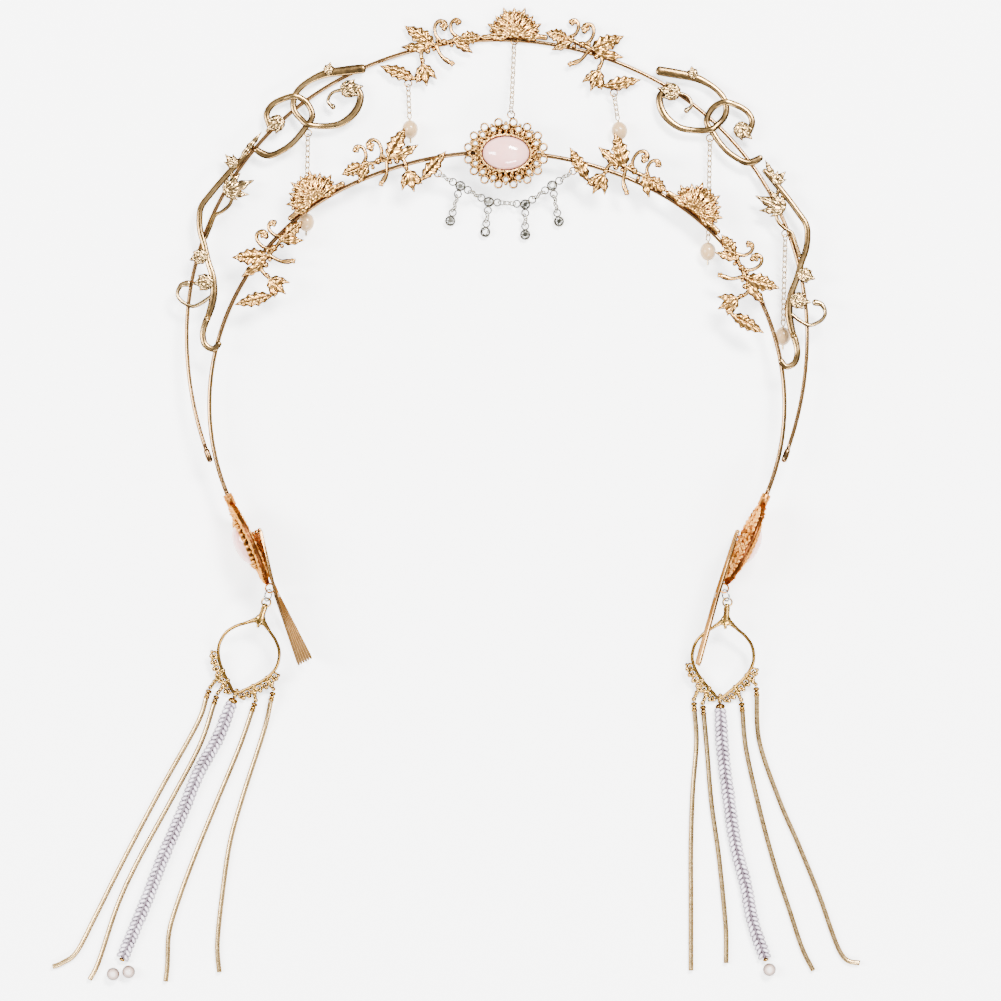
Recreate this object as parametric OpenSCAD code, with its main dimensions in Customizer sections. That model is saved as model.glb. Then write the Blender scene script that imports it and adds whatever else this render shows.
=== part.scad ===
// Diadem with two wire bands, cast leaf sprays, pearl drops and tassels, lying on a table.
// X runs across the head, Y towards the crest of the crown band, Z up from the table.
// The origin is on the table below the middle of the head opening, at its widest level.

/* [Bands] */
// Width of the head opening, between the wire centres of the front band
head_w = 154.4; // [148:0.2:162]
// How far the crown band stands outside the front band on each side
crown_overhang = 6.2; // [5.4:0.1:7.5]
// Height of the crown band's widest level above the front band's widest level
crown_lift = 19; // [17:0.5:22]
// Diameter of the front band's wire
front_wire_d = 1.2; // [1:0.1:1.4]
// Diameter of the crown band's wire
crown_wire_d = 1.1; // [0.9:0.1:1.3]
// Height of the front band's wire above the table at its crest
front_crest_z = 6; // [5.8:0.1:6.6]

/* [Castings] */
// Length of a leaf spray, from its wedge leaf to its far leaf
spray_l = 29; // [26:0.5:31]
// Thickness of the cast leaves
relief = 1.5; // [1.2:0.1:1.9]
// Width of a fan along its band
fan_w = 17.4; // [15:0.2:19]
// Height of a fan above its band
fan_h = 8.8; // [7.4:0.2:10]
// Length of the pair of rings at each shoulder
ring_pair_l = 37; // [34:0.5:40]
// Length of the leaf scroll at each side
leaf_scroll_l = 53; // [50:0.5:56]
// Width of a scroll ribbon
ribbon_w = 1.7; // [1.4:0.1:2]
// Thickness of a scroll ribbon
ribbon_t = 0.9; // [0.7:0.1:1.1]

/* [Centre jewel] */
// Length of the centre stone
stone_l = 12.6; // [11:0.2:14]
// Width of the centre stone
stone_w = 9; // [8:0.2:10]
// Height of the centre stone's dome
stone_h = 3.4; // [2.4:0.1:4.4]
// Width of the filigree around the centre stone
filigree_w = 5.2; // [4.8:0.1:5.8]

/* [Side plates] */
// Length of a side plate
plate_l = 24.5; // [22:0.5:27]
// Width of a side plate, which stands on its edge
plate_w = 17.5; // [16:0.5:19.5]
// Thickness of a side plate
plate_t = 0.9; // [0.7:0.1:1.1]
// Length of a side stone
side_stone_l = 11.4; // [9:0.2:12.4]
// Width of a side stone
side_stone_w = 8.4; // [7:0.2:9.2]
// Height of a side stone's dome
side_stone_h = 3.2; // [2.4:0.1:4]

/* [Hair combs] */
// Length of a comb
comb_l = 38; // [34:1:40]
// Width of a comb between its outer prongs
comb_w = 13.8; // [12:0.2:14.6]
// Diameter of a prong
prong_d = 0.9; // [0.7:0.1:1]

/* [Fine chains] */
// Outer diameter of a chain link
link_d = 2.2; // [2:0.05:2.4]
// Diameter of the link's wire
link_wire = 0.3; // [0.24:0.02:0.34]
// Width of a drop pearl
pearl_d = 4.3; // [3.6:0.1:4.4]
// Length of a drop pearl
pearl_l = 5; // [4.4:0.1:5.6]
// Diameter of a rhinestone
rhinestone_d = 2.1; // [1.9:0.1:2.3]

/* [Hoops] */
// Length of a hoop from its eye to its tip
hoop_l = 27.2; // [25:0.2:30]
// Width of a hoop
hoop_w = 16.4; // [15:0.2:18]
// Diameter of the hoop's wire
hoop_wire = 0.9; // [0.7:0.1:1.1]
// Outer diameter of the jump ring that carries a hoop
jump_ring_d = 3.6; // [3.5:0.1:4]

/* [Tassels] */
// Diameter of a snake chain
snake_d = 1.3; // [1:0.1:1.4]
// Width of a rope of seed pearls
rope_w = 3.7; // [3.2:0.1:4]
// Thickness of a rope of seed pearls
rope_t = 2.4; // [2:0.1:2.8]
// Diameter of the pearls at the ends of the ropes
end_pearl_d = 3.5; // [3:0.1:3.7]

/* [Hidden] */

gold = "goldenrod";
rose_gold = "tan";
pink = "mistyrose";
white = "lavender";
clear = "gainsboro";
L = -1;
R = 1;

// Clearance between two pieces that meet
gap = 0.12;

function unit(v) = v / norm(v);
function turned(v, a) = [v[0] * cos(a) - v[1] * sin(a), v[0] * sin(a) + v[1] * cos(a)];
function of_side(rows, side) = rows[side == L ? 0 : 1];

// A band is [half width, widest level, top radius, top sweep, lower radius, end turn].
TOP_SWEEP = 27;
FRONT_END = 114.5;
CROWN_END = 104;
front_half = head_w / 2;
front = [front_half, 0, 1.19 * front_half, TOP_SWEEP, 0.81 * front_half, FRONT_END];
join = band_point(front, FRONT_END);

// The crown band ends in a sleeve beside the front band's wire.
sleeve_d = crown_wire_d + 0.5;
SLEEVE_TURN = 2;
crown_end = beside_band(front, CROWN_END, [0, (front_wire_d + sleeve_d) / 2 + gap]);
crown_half = front_half + crown_overhang;
crown_sweep = 2 * atan((crown_half - crown_end[0]) / (crown_lift - crown_end[1]));
crown = [crown_half, crown_lift, 1.068 * crown_half, TOP_SWEEP,
         (crown_lift - crown_end[1]) / sin(crown_sweep), 90 + crown_sweep];

function shoulder_r(b) = (b[0] - b[2] * sin(b[3])) / (1 - sin(b[3]));
function crest(b) = b[1] + (shoulder_r(b) - b[2]) * cos(b[3]) + b[2];

// Point of a band's wire where its heading has turned by a from the crest, on the right side
function band_point(b, a) =
    a < b[3] ? [b[2] * sin(a), crest(b) - b[2] * (1 - cos(a))] :
    a <= 90 ? [b[0] - shoulder_r(b) * (1 - sin(a)), b[1] + shoulder_r(b) * cos(a)] :
    [b[0] - b[4] * (1 - sin(a)), b[1] + b[4] * cos(a)];

// That point moved by [along the band away from the crest, outwards]
function beside_band(b, a, move) = band_point(b, a) + turned(move, -a);

// The plane of a band is [hinge y, hinge z, fall towards the crest].
join_z = plate_w / 2;
crown_rest_z = crown_wire_d / 2;
front_plane = [join[1], join_z, asin((join_z - front_crest_z) / (crest(front) - join[1]))];
crown_join_z = in_room(front_plane, crown_end, 0)[2];
crown_plane = [crown_end[1], crown_join_z,
               asin((crown_join_z - crown_rest_z) / (crest(crown) - crown_end[1]))];

// Place in the room of a point of a plane, at height h above the plane
function in_room(plane, p, h) =
    [p[0], plane[0] + (p[1] - plane[0]) * cos(plane[2]) + h * sin(plane[2]),
     plane[1] - (p[1] - plane[0]) * sin(plane[2]) + h * cos(plane[2])];

module on_plane(plane) {
    translate([0, plane[0], plane[1]]) rotate([-plane[2], 0, 0])
        translate([0, -plane[0], 0]) children();
}

module at_side(side) {
    if (side == L) mirror([1, 0, 0]) children();
    else children();
}

// A seat on a band is [turn, along, outwards, twist, flip].
function seat_point(b, s, side, p) =
    let (q = beside_band(b, s[0], [s[1], s[2]]) + turned([s[4] * p[0], p[1]], s[3] - s[0]))
    [side * q[0], q[1]];

module on_seat(b, s) {
    translate(beside_band(b, s[0], [s[1], s[2]])) rotate(s[3] - s[0])
        if (s[4] < 0) mirror([1, 0, 0]) children();
        else children();
}

// Underside of the castings above the plane of a band, just clear of its wire
front_seat_z = front_wire_d / 2 + gap;
crown_seat_z = crown_wire_d / 2 + gap;

module front_casting(side, s) {
    color(rose_gold) on_plane(front_plane) at_side(side)
        translate([0, 0, front_seat_z]) on_seat(front, s) children();
}

module crown_casting(side, s) {
    color(rose_gold) on_plane(crown_plane) at_side(side)
        translate([0, 0, crown_seat_z]) on_seat(crown, s) children();
}

// Smooth curve through the rows p, with n steps between two rows
function knot(p, i, closed) = closed ? p[(i + len(p)) % len(p)] : p[min(max(i, 0), len(p) - 1)];
function blend(a, b, c, d, t) =
    0.5 * (2 * b + (c - a) * t + (2 * a - 5 * b + 4 * c - d) * t * t
           + (3 * b - a - 3 * c + d) * t * t * t);
function spline(p, n, closed = false) = [
    for (i = [0 : len(p) - (closed ? 1 : 2)], k = [0 : n - 1])
        blend(knot(p, i - 1, closed), knot(p, i, closed), knot(p, i + 1, closed),
              knot(p, i + 2, closed), k / n),
    if (!closed) p[len(p) - 1]];

// Swept wire. A row is [x, y, z, half width, half height].
module wire(rows, sides = 6, closed = false, start = 0) {
    n = len(rows);
    points = [for (i = [0 : n - 1])
        let (a = rows[closed ? (i + 1) % n : min(i + 1, n - 1)],
             b = rows[closed ? (i + n - 1) % n : max(i - 1, 0)], r = rows[i],
             t = unit([a[0] - b[0], a[1] - b[1], a[2] - b[2]]),
             across = unit([-t[1], t[0], 0]), up = cross(t, across))
        for (k = [0 : sides - 1])
            [r[0], r[1], r[2]] + r[3] * cos(start + k * 360 / sides) * across
                + r[4] * sin(start + k * 360 / sides) * up];
    walls = [for (i = [0 : n - (closed ? 1 : 2)], k = [0 : sides - 1])
        let (p = i * sides, q = ((i + 1) % n) * sides, j = (k + 1) % sides)
        each [[p + k, q + j, p + j], [p + k, q + k, q + j]]];
    ends = closed ? [] : [[for (k = [0 : sides - 1]) k],
                          [for (k = [sides - 1 : -1 : 0]) (n - 1) * sides + k]];
    polyhedron(points, concat(walls, ends), convexity = 10);
}

// Bands

BAND_STEPS = 17;
module band_wire(b, d, end_d) {
    last = b[5] - SLEEVE_TURN;
    half = concat([for (k = [0 : BAND_STEPS]) [last * k / BAND_STEPS, d / 2]],
                  [[last + 0.1, end_d / 2], [b[5], end_d / 2]]);
    n = len(half) - 1;
    wire([for (k = [-n : n])
        let (row = half[abs(k)], p = band_point(b, row[0]))
        [sign(k) * p[0], p[1], 0, row[1], row[1]]], 8);
}

module front_band() {
    color(gold) on_plane(front_plane) band_wire(front, front_wire_d, front_wire_d);
}

module crown_band() {
    color(gold) on_plane(crown_plane) band_wire(crown, crown_wire_d, sleeve_d);
}

// Cast forms: a flat blade that stands on the seat of its band, with raised ribs

STEM_R = 0.5;
BLADE_SHARE = 0.6;
blade_t = BLADE_SHARE * relief;

// Pointed leaf from a base to a tip
module leaf_shape(base, tip, w) {
    l = norm(tip - base);
    half = [for (k = [0 : 5]) [l * k / 5, w / 2 * sin(180 * pow(k / 5, 0.8))]];
    translate(base) rotate(atan2(tip[1] - base[1], tip[0] - base[0]))
        polygon(concat(half, [for (k = [4 : -1 : 1]) [half[k][0], -half[k][1]]]));
}

// Line of changing width through the rows [x, y, half width]
module stroke(p) {
    n = len(p) - 1;
    edge = [for (i = [0 : n])
        let (a = p[max(i - 1, 0)], b = p[min(i + 1, n)], u = unit([b[0] - a[0], b[1] - a[1]]))
        p[i][2] * [-u[1], u[0]]];
    polygon(concat([for (i = [0 : n]) [p[i][0], p[i][1]] + edge[i]],
                   [for (i = [n : -1 : 0]) [p[i][0], p[i][1]] - edge[i]]));
}

// Casting of leaves [base x, base y, tip x, tip y, width] and stems of points
// [x, y, width], in shares of a length and, for the widths of stems, of a stem's width
module blades(leaves, stems, l, stem_r) {
    linear_extrude(blade_t) {
        for (r = leaves) leaf_shape(l * [r[0], r[1]], l * [r[2], r[3]], l * r[4]);
        for (s = stems) stroke(spline([for (q = s) [l * q[0], l * q[1], stem_r * q[2]]], 2));
    }
    linear_extrude(relief) for (r = leaves)
        let (base = l * [r[0], r[1]], along = l * [r[2] - r[0], r[3] - r[1]])
        leaf_shape(base + 0.12 * along, base + 0.8 * along, 0.4 * l * r[4]);
}

// Flat eye that a chain link passes through
link_r = (link_d - link_wire) / 2;
EYE_BAR = 0.35;
EYE_T = 0.35;
eye_bar_r = link_r;
eye_r = eye_bar_r + EYE_BAR / 2;
module eye(at) {
    translate([at[0], at[1], 0]) linear_extrude(EYE_T) difference() {
        circle(eye_r);
        circle(eye_r - EYE_BAR);
    }
}

SPRAY_LEAVES = [
    [0.22, 0.05, 0.00, 0.00, 0.13], [0.27, 0.05, 0.13, -0.12, 0.09],
    [0.45, 0.05, 0.67, 0.31, 0.16], [0.52, 0.05, 0.76, 0.13, 0.10],
    [0.61, -0.08, 0.52, -0.26, 0.08], [0.61, -0.08, 0.63, -0.30, 0.09],
    [0.61, -0.08, 0.72, -0.24, 0.08], [0.72, -0.19, 1.00, 0.02, 0.13]];
SPRAY_STEMS = [
    [[0.10, 0.03, 1], [0.22, 0.05, 1], [0.36, 0.05, 1], [0.50, 0.06, 1.1], [0.59, 0.02, 1],
     [0.61, -0.10, 1], [0.66, -0.19, 1], [0.76, -0.18, 1]],
    [[0.21, 0.05, 1], [0.26, 0.12, 0.9], [0.25, 0.20, 0.9], [0.20, 0.23, 1], [0.17, 0.20, 1.3]],
    [[0.36, 0.04, 1], [0.41, 0.13, 0.9], [0.40, 0.22, 0.9], [0.35, 0.26, 1], [0.30, 0.23, 1.2],
     [0.32, 0.18, 1.4]],
    [[0.44, 0.05, 1], [0.42, -0.06, 0.9], [0.38, -0.12, 1.3], [0.34, -0.16, 0.8]]];
module leaf_spray(eyes) {
    blades(SPRAY_LEAVES, SPRAY_STEMS, spray_l, STEM_R);
    for (e = eyes) eye(e);
}

// Seats of the sprays on their bands, for the left and the right side
FRONT_SPRAYS = [[27, -1.6, 3.4, 15.2, -1], [31.2, -0.8, 1.2, 7.6, -1]];
SIDE_SPRAYS = [[36, 3.4, -1.7, -16, 1], [46.6, -0.2, 1.3, -21.2, 1]];
CROWN_SPRAYS = [[2.5, -0.1, 0.7, -14.2, 1], [8.4, -0.5, 2.8, -19.1, 1]];
// Eyes under the far leaf of a spray, for the drops and for the swag
DROP_EYES = [[0.79, -0.178], [0.83, -0.168]];
function drop_eye(side) = spray_l * of_side(DROP_EYES, side) - [0, eye_r];
swag_eye = [0.88 * spray_l, -0.13 * spray_l - eye_r];

module front_leaf_spray(side) {
    front_casting(side, of_side(FRONT_SPRAYS, side)) leaf_spray([swag_eye]);
}

module side_leaf_spray(side) {
    front_casting(side, of_side(SIDE_SPRAYS, side)) leaf_spray([]);
}

module crown_leaf_spray(side) {
    crown_casting(side, of_side(CROWN_SPRAYS, side)) leaf_spray([drop_eye(side)]);
}

// Leaves of a fan: [angle, length share, width share]
FAN_LEAVES = [for (k = [0 : 8]) [4 + 21.5 * k, k % 2 == 0 ? 0.93 : 1, k == 4 ? 0.21 : 0.18]];
FAN_HUB = 0.42;
module fan(eyes) {
    function rim(a, s) = s * [(fan_w / 2 - STEM_R) * cos(a), fan_h * sin(a)];
    linear_extrude(blade_t) {
        for (f = FAN_LEAVES) leaf_shape(rim(f[0], 0.2), rim(f[0], f[1]), f[2] * fan_w);
        polygon([for (a = [0 : 20 : 180]) rim(a, FAN_HUB)]);
        stroke([for (k = [-3 : 3])
            [fan_w * 0.48 * k / 3, STEM_R * (1 - pow(k / 3, 2)), STEM_R * 1.4]]);
    }
    linear_extrude(relief) {
        for (f = FAN_LEAVES)
            leaf_shape(rim(f[0], FAN_HUB), rim(f[0], 0.85 * f[1]), 0.4 * f[2] * fan_w);
        stroke([for (a = [0 : 20 : 180]) let (p = rim(a, FAN_HUB)) [p[0], p[1], STEM_R * 0.8]]);
    }
    for (e = eyes) eye(e);
}

// Seats of the fans
FRONT_FANS = [[33.6, 0, 0.6, 0, 1], [38.1, 0, 0.6, 0, 1]];
CROWN_FAN = [3, 0, 0.6, 3, 1];
fan_eye = [0, EYE_BAR / 2 - eye_r];

module front_fan(side) {
    front_casting(side, of_side(FRONT_FANS, side)) fan([]);
}

module crown_fan() {
    crown_casting(R, CROWN_FAN) fan([fan_eye]);
}

// Scroll ribbons through the points [x, y, width], in shares of a length and of the ribbon
module ribbons(tables, l) {
    linear_extrude(ribbon_t) for (t = tables)
        stroke(spline([for (q = t) [q[0] * l, q[1] * l, q[2] * ribbon_w / 2]], 3));
}

// Calyx of three pointed leaves, from one leaf [base x, base y, tip x, tip y, width]
function calyx(c) =
    let (ahead = [c[2] - c[0], c[3] - c[1]])
    [for (a = [-32, 0, 32]) let (k = a == 0 ? 1 : 0.7, tip = k * turned(ahead, a))
        [c[0], c[1], c[0] + tip[0], c[1] + tip[1], k * c[4]]];
function calyxes(rows) = [for (c = rows) each calyx(c)];

// Open ring and closed ring of a shoulder casting
OPEN_RING = [
    [-0.48, -0.07, 1.5], [-0.34, 0.01, 1.5], [-0.21, 0.075, 1.3], [-0.08, 0.10, 1],
    [0.02, 0.09, 1], [0.09, 0.045, 1], [0.125, -0.02, 1], [0.12, -0.10, 1], [0.105, -0.155, 1],
    [0.02, -0.23, 1], [-0.08, -0.285, 1.1], [-0.19, -0.29, 1.2], [-0.275, -0.26, 1.2],
    [-0.335, -0.20, 1.1], [-0.33, -0.13, 0.9],
    [-0.26, -0.10, 0.7]];
CLOSED_RING = [
    [0.34, -0.01, 0.9], [0.305, 0.08, 1], [0.24, 0.115, 1], [0.16, 0.11, 1], [0.06, 0.07, 1],
    [0.02, 0, 1], [0.02, -0.07, 1], [0.04, -0.12, 1], [0.075, -0.145, 1], [0.13, -0.16, 1],
    [0.21, -0.185, 1], [0.31, -0.20, 1], [0.41, -0.19, 1], [0.465, -0.17, 1.1],
    [0.50, -0.125, 1.2], [0.52, -0.065, 0.9]];
RING_CALYXES = [[-0.25, -0.10, -0.39, -0.165, 0.07], [0.24, -0.01, 0.385, -0.015, 0.07],
                [-0.235, 0.065, -0.30, 0.12, 0.05]];
RING_TENDRIL = [[-0.27, -0.105, 1], [-0.18, -0.07, 0.9], [-0.115, -0.10, 0.9],
                [-0.12, -0.155, 1.2]];
RING_PAIRS = [[36.2, 0, 0, 0, 1], [42.6, -2.7, 3.2, 3.2, 1]];
ring_eye = [0.14 * ring_pair_l, -0.16 * ring_pair_l - ribbon_w / 2 + EYE_BAR - eye_r];
module ring_pair(side) {
    crown_casting(side, of_side(RING_PAIRS, side)) {
        ribbons([OPEN_RING, CLOSED_RING], ring_pair_l);
        blades(calyxes(RING_CALYXES), [RING_TENDRIL], ring_pair_l, STEM_R);
        eye(ring_eye);
    }
}

// Leaf scroll at each side; its lower end rises to lie over the front band's wire.
SCROLL_SEATS = [[71.5, 0, -0.4, -0.8, 1], [75.6, 0, 1.2, 0, 1]];
hook_point = beside_band(crown, SCROLL_SEATS[0][0], leaf_scroll_l * [0.48, -0.20]);
hook_rise = in_room(front_plane, hook_point, front_seat_z)[2]
    - in_room(crown_plane, hook_point, crown_seat_z)[2] + gap;
SCROLL_STEM = [
    [-0.50, -0.075, 0.8], [-0.42, -0.035, 1], [-0.32, 0.01, 1], [-0.245, 0.04, 1],
    [-0.17, 0.065, 1], [-0.105, 0.055, 1], [-0.045, 0.03, 1], [0.015, -0.01, 1],
    [0.09, -0.055, 1], [0.155, -0.10, 1.1], [0.23, -0.13, 1.2], [0.30, -0.14, 1.2],
    [0.365, -0.14, 1]];
SCROLL_HOOK = [[0.365, -0.14, 1.1], [0.425, -0.14, 1], [0.465, -0.15, 1], [0.50, -0.175, 1],
               [0.505, -0.22, 1], [0.46, -0.24, 1]];
SCROLL_STRAND = [[-0.385, -0.025, 0.6], [-0.30, -0.06, 0.6], [-0.23, -0.07, 0.6],
                 [-0.18, -0.045, 0.6], [-0.145, -0.015, 0.6], [-0.08, -0.01, 0.6],
                 [-0.015, -0.005, 0.6]];
SCROLL_CURL = [[0.255, -0.12, 1], [0.30, -0.085, 1], [0.33, -0.045, 1], [0.32, 0.015, 1],
               [0.29, 0.045, 1], [0.245, 0.04, 1.3], [0.225, 0.01, 1.8]];
SCROLL_CALYXES = [[-0.28, -0.03, -0.38, -0.15, 0.045], [-0.42, -0.035, -0.46, 0.035, 0.03],
                  [0.06, -0.03, 0.11, 0.04, 0.05], [0.18, -0.10, 0.22, -0.01, 0.05]];
// Long leaf at the upper end, for the left and the right side
SCROLL_TIPS = [[-0.455, -0.045, -0.628, -0.11, 0.036], [-0.42, -0.03, -0.545, -0.054, 0.036]];
scroll_eye = [-0.155 * leaf_scroll_l, -0.027 * leaf_scroll_l - eye_r];
module leaf_scroll(side, eyes) {
    crown_casting(side, of_side(SCROLL_SEATS, side)) {
        ribbons([SCROLL_STEM, SCROLL_STRAND], leaf_scroll_l);
        translate([0, 0, hook_rise]) ribbons([SCROLL_HOOK], leaf_scroll_l);
        translate(leaf_scroll_l * [SCROLL_HOOK[0][0], SCROLL_HOOK[0][1]])
            cylinder(h = hook_rise + ribbon_t, d = ribbon_w);
        blades(concat(calyxes(SCROLL_CALYXES), [of_side(SCROLL_TIPS, side)]), [SCROLL_CURL],
               leaf_scroll_l, STEM_R);
        for (e = eyes) eye(e);
    }
}

// Stones and their settings

function oval(l, w, n = 24) =
    [for (k = [0 : n - 1]) [l / 2 * cos(360 * k / n), w / 2 * sin(360 * k / n)]];
BEZEL_WALL = 0.5;
BEZEL_FLOOR = 0.5;
BEZEL_H = 1.7;
module bezel(l, w) {
    grow = 2 * (gap + BEZEL_WALL);
    linear_extrude(BEZEL_FLOOR) polygon(oval(l + grow, w + grow));
    linear_extrude(BEZEL_H) difference() {
        polygon(oval(l + grow, w + grow));
        polygon(oval(l + 2 * gap, w + 2 * gap));
    }
}

// Oval cabochon whose flat base lies just above the bezel's floor
module cabochon(l, w, h) {
    translate([0, 0, BEZEL_FLOOR + gap]) intersection() {
        scale([l / w, 1, 2 * h / w]) sphere(w / 2, $fn = 48);
        translate([0, 0, h]) cube([2 * l, 2 * w, 2 * h], center = true);
    }
}

JEWEL_SEAT = [1.5, 0, -0.4, 1.5, 1];
PETALS = 16;
LOOP_R = 1.2;
LOOP_BAR = 0.45;
jewel_eye = [1.4, stone_w / 2 + filigree_w + eye_r - EYE_BAR];
module centre_setting() {
    half = [stone_l / 2 + filigree_w - LOOP_R, stone_w / 2 + filigree_w - LOOP_R];
    function at(k, in) =
        let (a = 360 * k / PETALS) [(half[0] - in) * cos(a), (half[1] - in) * sin(a)];
    front_casting(R, JEWEL_SEAT) {
        bezel(stone_l, stone_w);
        linear_extrude(EYE_T) difference() {
            union() {
                polygon(oval(2 * half[0] - LOOP_R, 2 * half[1] - LOOP_R, 32));
                for (k = [0.5 : PETALS]) translate(at(k, 0)) circle(LOOP_R, $fn = 13);
            }
            for (k = [0.5 : PETALS]) translate(at(k, 0)) circle(LOOP_R - LOOP_BAR, $fn = 13);
            for (k = [0 : PETALS - 1]) leaf_shape(at(k, 2.8), at(k, 1), 0.9);
        }
        linear_extrude(relief) for (k = [0.5 : PETALS])
            leaf_shape(at(k, 3.3), at(k, LOOP_R - LOOP_BAR), 0.9);
        eye(jewel_eye);
    }
}

module centre_stone() {
    color(pink) on_plane(front_plane) translate([0, 0, front_seat_z])
        on_seat(front, JEWEL_SEAT) cabochon(stone_l, stone_w, stone_h);
}

// Chains

// Turns a piece from X into the direction from a to b, starting at a
module aim(a, b) {
    d = b - a;
    translate(a) rotate([0, -atan2(d[2], norm([d[0], d[1]])), atan2(d[1], d[0])]) children();
}

module ring(r, w) {
    rotate_extrude() translate([r, 0]) circle(d = w);
}

LINK_TURN = 60;
LINK_SLACK = 0.1;
link_pitch = 2 * link_r - link_wire - LINK_SLACK;
// Room between the bar of an eye and the link that hangs on it
EYE_SLACK = 0.36;
// Distance from the bar of an eye to the middle of that link
link_hang = link_r - link_wire / 2 - EYE_BAR / 2 - EYE_SLACK;

// Links from the middle of the first, at a, to the middle of the last, at b
module links(a, b) {
    n = ceil(norm(b - a) / link_pitch - 0.001);
    aim(a, b) for (k = [0 : n]) translate([norm(b - a) * k / max(n, 1), 0, 0])
        rotate([k % 2 == 0 ? LINK_TURN : -LINK_TURN, 0, 0]) ring(link_r, link_wire);
}

// Chain from the bar of one eye to the bar of another
module chain(a, b) {
    u = unit(b - a);
    links(a + link_hang * u, b - link_hang * u);
}

// Bar of an eye on the side that faces the point "to"
function bar_towards(middle, to) =
    middle + eye_bar_r * unit([to[0] - middle[0], to[1] - middle[1], 0]);
function eye_room(plane, b, s, side, p, z) =
    in_room(plane, seat_point(b, s, side, p), z + EYE_T / 2);

fan_eye_room = eye_room(crown_plane, crown, CROWN_FAN, R, fan_eye, crown_seat_z);
jewel_eye_room = eye_room(front_plane, front, JEWEL_SEAT, R, jewel_eye, front_seat_z);
module centre_chain() {
    color(gold) chain(bar_towards(fan_eye_room, jewel_eye_room),
                      bar_towards(jewel_eye_room, fan_eye_room));
}

// Pearl drops: [eye that carries the drop, sideways and downwards from it to the pearl]
PIN_D = 0.5;
PIN_TIP = 1;
function spray_eye(side) = eye_room(crown_plane, crown, of_side(CROWN_SPRAYS, side), side,
                                    drop_eye(side), crown_seat_z);
function pair_eye(side) = eye_room(crown_plane, crown, of_side(RING_PAIRS, side), side,
                                   ring_eye, crown_seat_z);
DROP_L1 = [spray_eye(L), 0.5, -12.4];
DROP_L2 = [pair_eye(L), -0.5, -24];
DROP_R1 = [spray_eye(R), 1.5, -10.2];
DROP_R2 = [pair_eye(R), -0.5, -30.5];
DROP_R3 = [eye_room(crown_plane, crown, SCROLL_SEATS[1], R, scroll_eye, crown_seat_z),
           -0.5, -27.6];
function pearl_at(drop) = [drop[0][0] + drop[1], drop[0][1] + drop[2], pearl_d / 2];
function level_to(drop) = unit([drop[1], drop[2], 0]);
// Middle of the ring at the top of the pearl's pin
function pin_top(drop) =
    pearl_at(drop) - (pearl_l / 2 + gap + link_d / 2) * level_to(drop);

module pearl_chain(drop) {
    top = pin_top(drop);
    bar = bar_towards(drop[0], top);
    start = bar + link_hang * unit(top - bar);
    pin_l = pearl_l + 2 * gap + PIN_TIP + link_wire / 2;
    color(gold) {
        links(start, top);
        aim(top, top + level_to(drop)) translate([link_r, 0, 0])
            rotate([0, 90, 0]) cylinder(h = pin_l, d = PIN_D);
    }
}

PEARL_STEPS = 14;
module pearl(drop) {
    bore_turn = acos((PIN_D + 2 * gap) / pearl_d);
    color("ivory") aim(pearl_at(drop), pearl_at(drop) + level_to(drop)) rotate([0, 90, 0])
        rotate_extrude() polygon([for (k = [0 : PEARL_STEPS])
            let (a = bore_turn * (2 * k / PEARL_STEPS - 1))
            [pearl_d / 2 * cos(a), pearl_l / 2 * sin(a)]]);
}

// Swag of rhinestones in cups under the jewel
CUP_WALL = 0.25;
CUP_H = 1.4;
CUP_SIDES = 12;
// Height of a cup's eyes above the middle of the cup
CUP_EYE_Z = 0.35;
cup_r = rhinestone_d / 2 + gap + CUP_WALL;
// Distances from the middle of a cup to its eye and to the bar of that eye
cup_eye = cup_r + eye_r - CUP_WALL;
cup_bar = cup_eye + eye_bar_r;

// A chain that falls by a height has as many links as it needs, and is almost taut.
TAUT = 0.97;
one_link = 2 * link_hang;
function taut_l(fall) =
    one_link + max(1, ceil((1.02 * fall - one_link) / (TAUT * link_pitch))) * TAUT * link_pitch;
function level_reach(fall) = sqrt(pow(taut_l(fall), 2) - fall * fall);
// Place at a level distance and a fall from one point, on the way to another
function hung(from, towards, reach, fall) =
    let (u = unit([towards[0] - from[0], towards[1] - from[1]]))
    [from[0] + reach * u[0], from[1] + reach * u[1], from[2] - fall];

function swag_end(side) = eye_room(front_plane, front, of_side(FRONT_SPRAYS, side), side,
                                   swag_eye, front_seat_z);
// The eyes of the two middle cups hang at a level above the table, so far to each side of
// the middle between the swag's ends, and as low as their chains let them.
SWAG_LOW_Z = 2.2;
SWAG_INNERS = [-4.5, 5.3];
SWAG_LEAST_SAG = 3;
SWAG_UPPER_SHARE = 0.46;
swag_middle = (swag_end(L)[0] + swag_end(R)[0]) / 2;
function swag_falls(side) =
    (swag_end(side)[2] - SWAG_LOW_Z) * [SWAG_UPPER_SHARE, 1 - SWAG_UPPER_SHARE];
function swag_reaches(side) =
    let (falls = swag_falls(side))
    [eye_bar_r + level_reach(falls[0]) + cup_bar, 2 * cup_bar + level_reach(falls[1])];
function swag_low(side) =
    let (end = swag_end(side), x = swag_middle + of_side(SWAG_INNERS, side),
         l = swag_reaches(side) * [1, 1], sag_2 = l * l - pow(x - end[0], 2))
    [x, end[1] - sqrt(max(sag_2, SWAG_LEAST_SAG * SWAG_LEAST_SAG))];
function outer_cup(side) =
    hung(swag_end(side), swag_low(side), swag_reaches(side)[0], swag_falls(side)[0]);
function inner_cup(side) =
    hung(outer_cup(side), swag_low(side), swag_reaches(side)[1], swag_falls(side)[1]);
swag_cups = [outer_cup(L), inner_cup(L), inner_cup(R), outer_cup(R)];
// Slant of the drop below each cup
SWAG_SLANTS = [-0.3, -0.12, 0, 0.2];
function drop_cup(k) =
    let (c = swag_cups[k], fall = c[2] - CUP_EYE_Z - CUP_H / 2)
    hung(c, c + [SWAG_SLANTS[k], -1, 0], 2 * cup_bar + level_reach(fall), fall);

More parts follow.
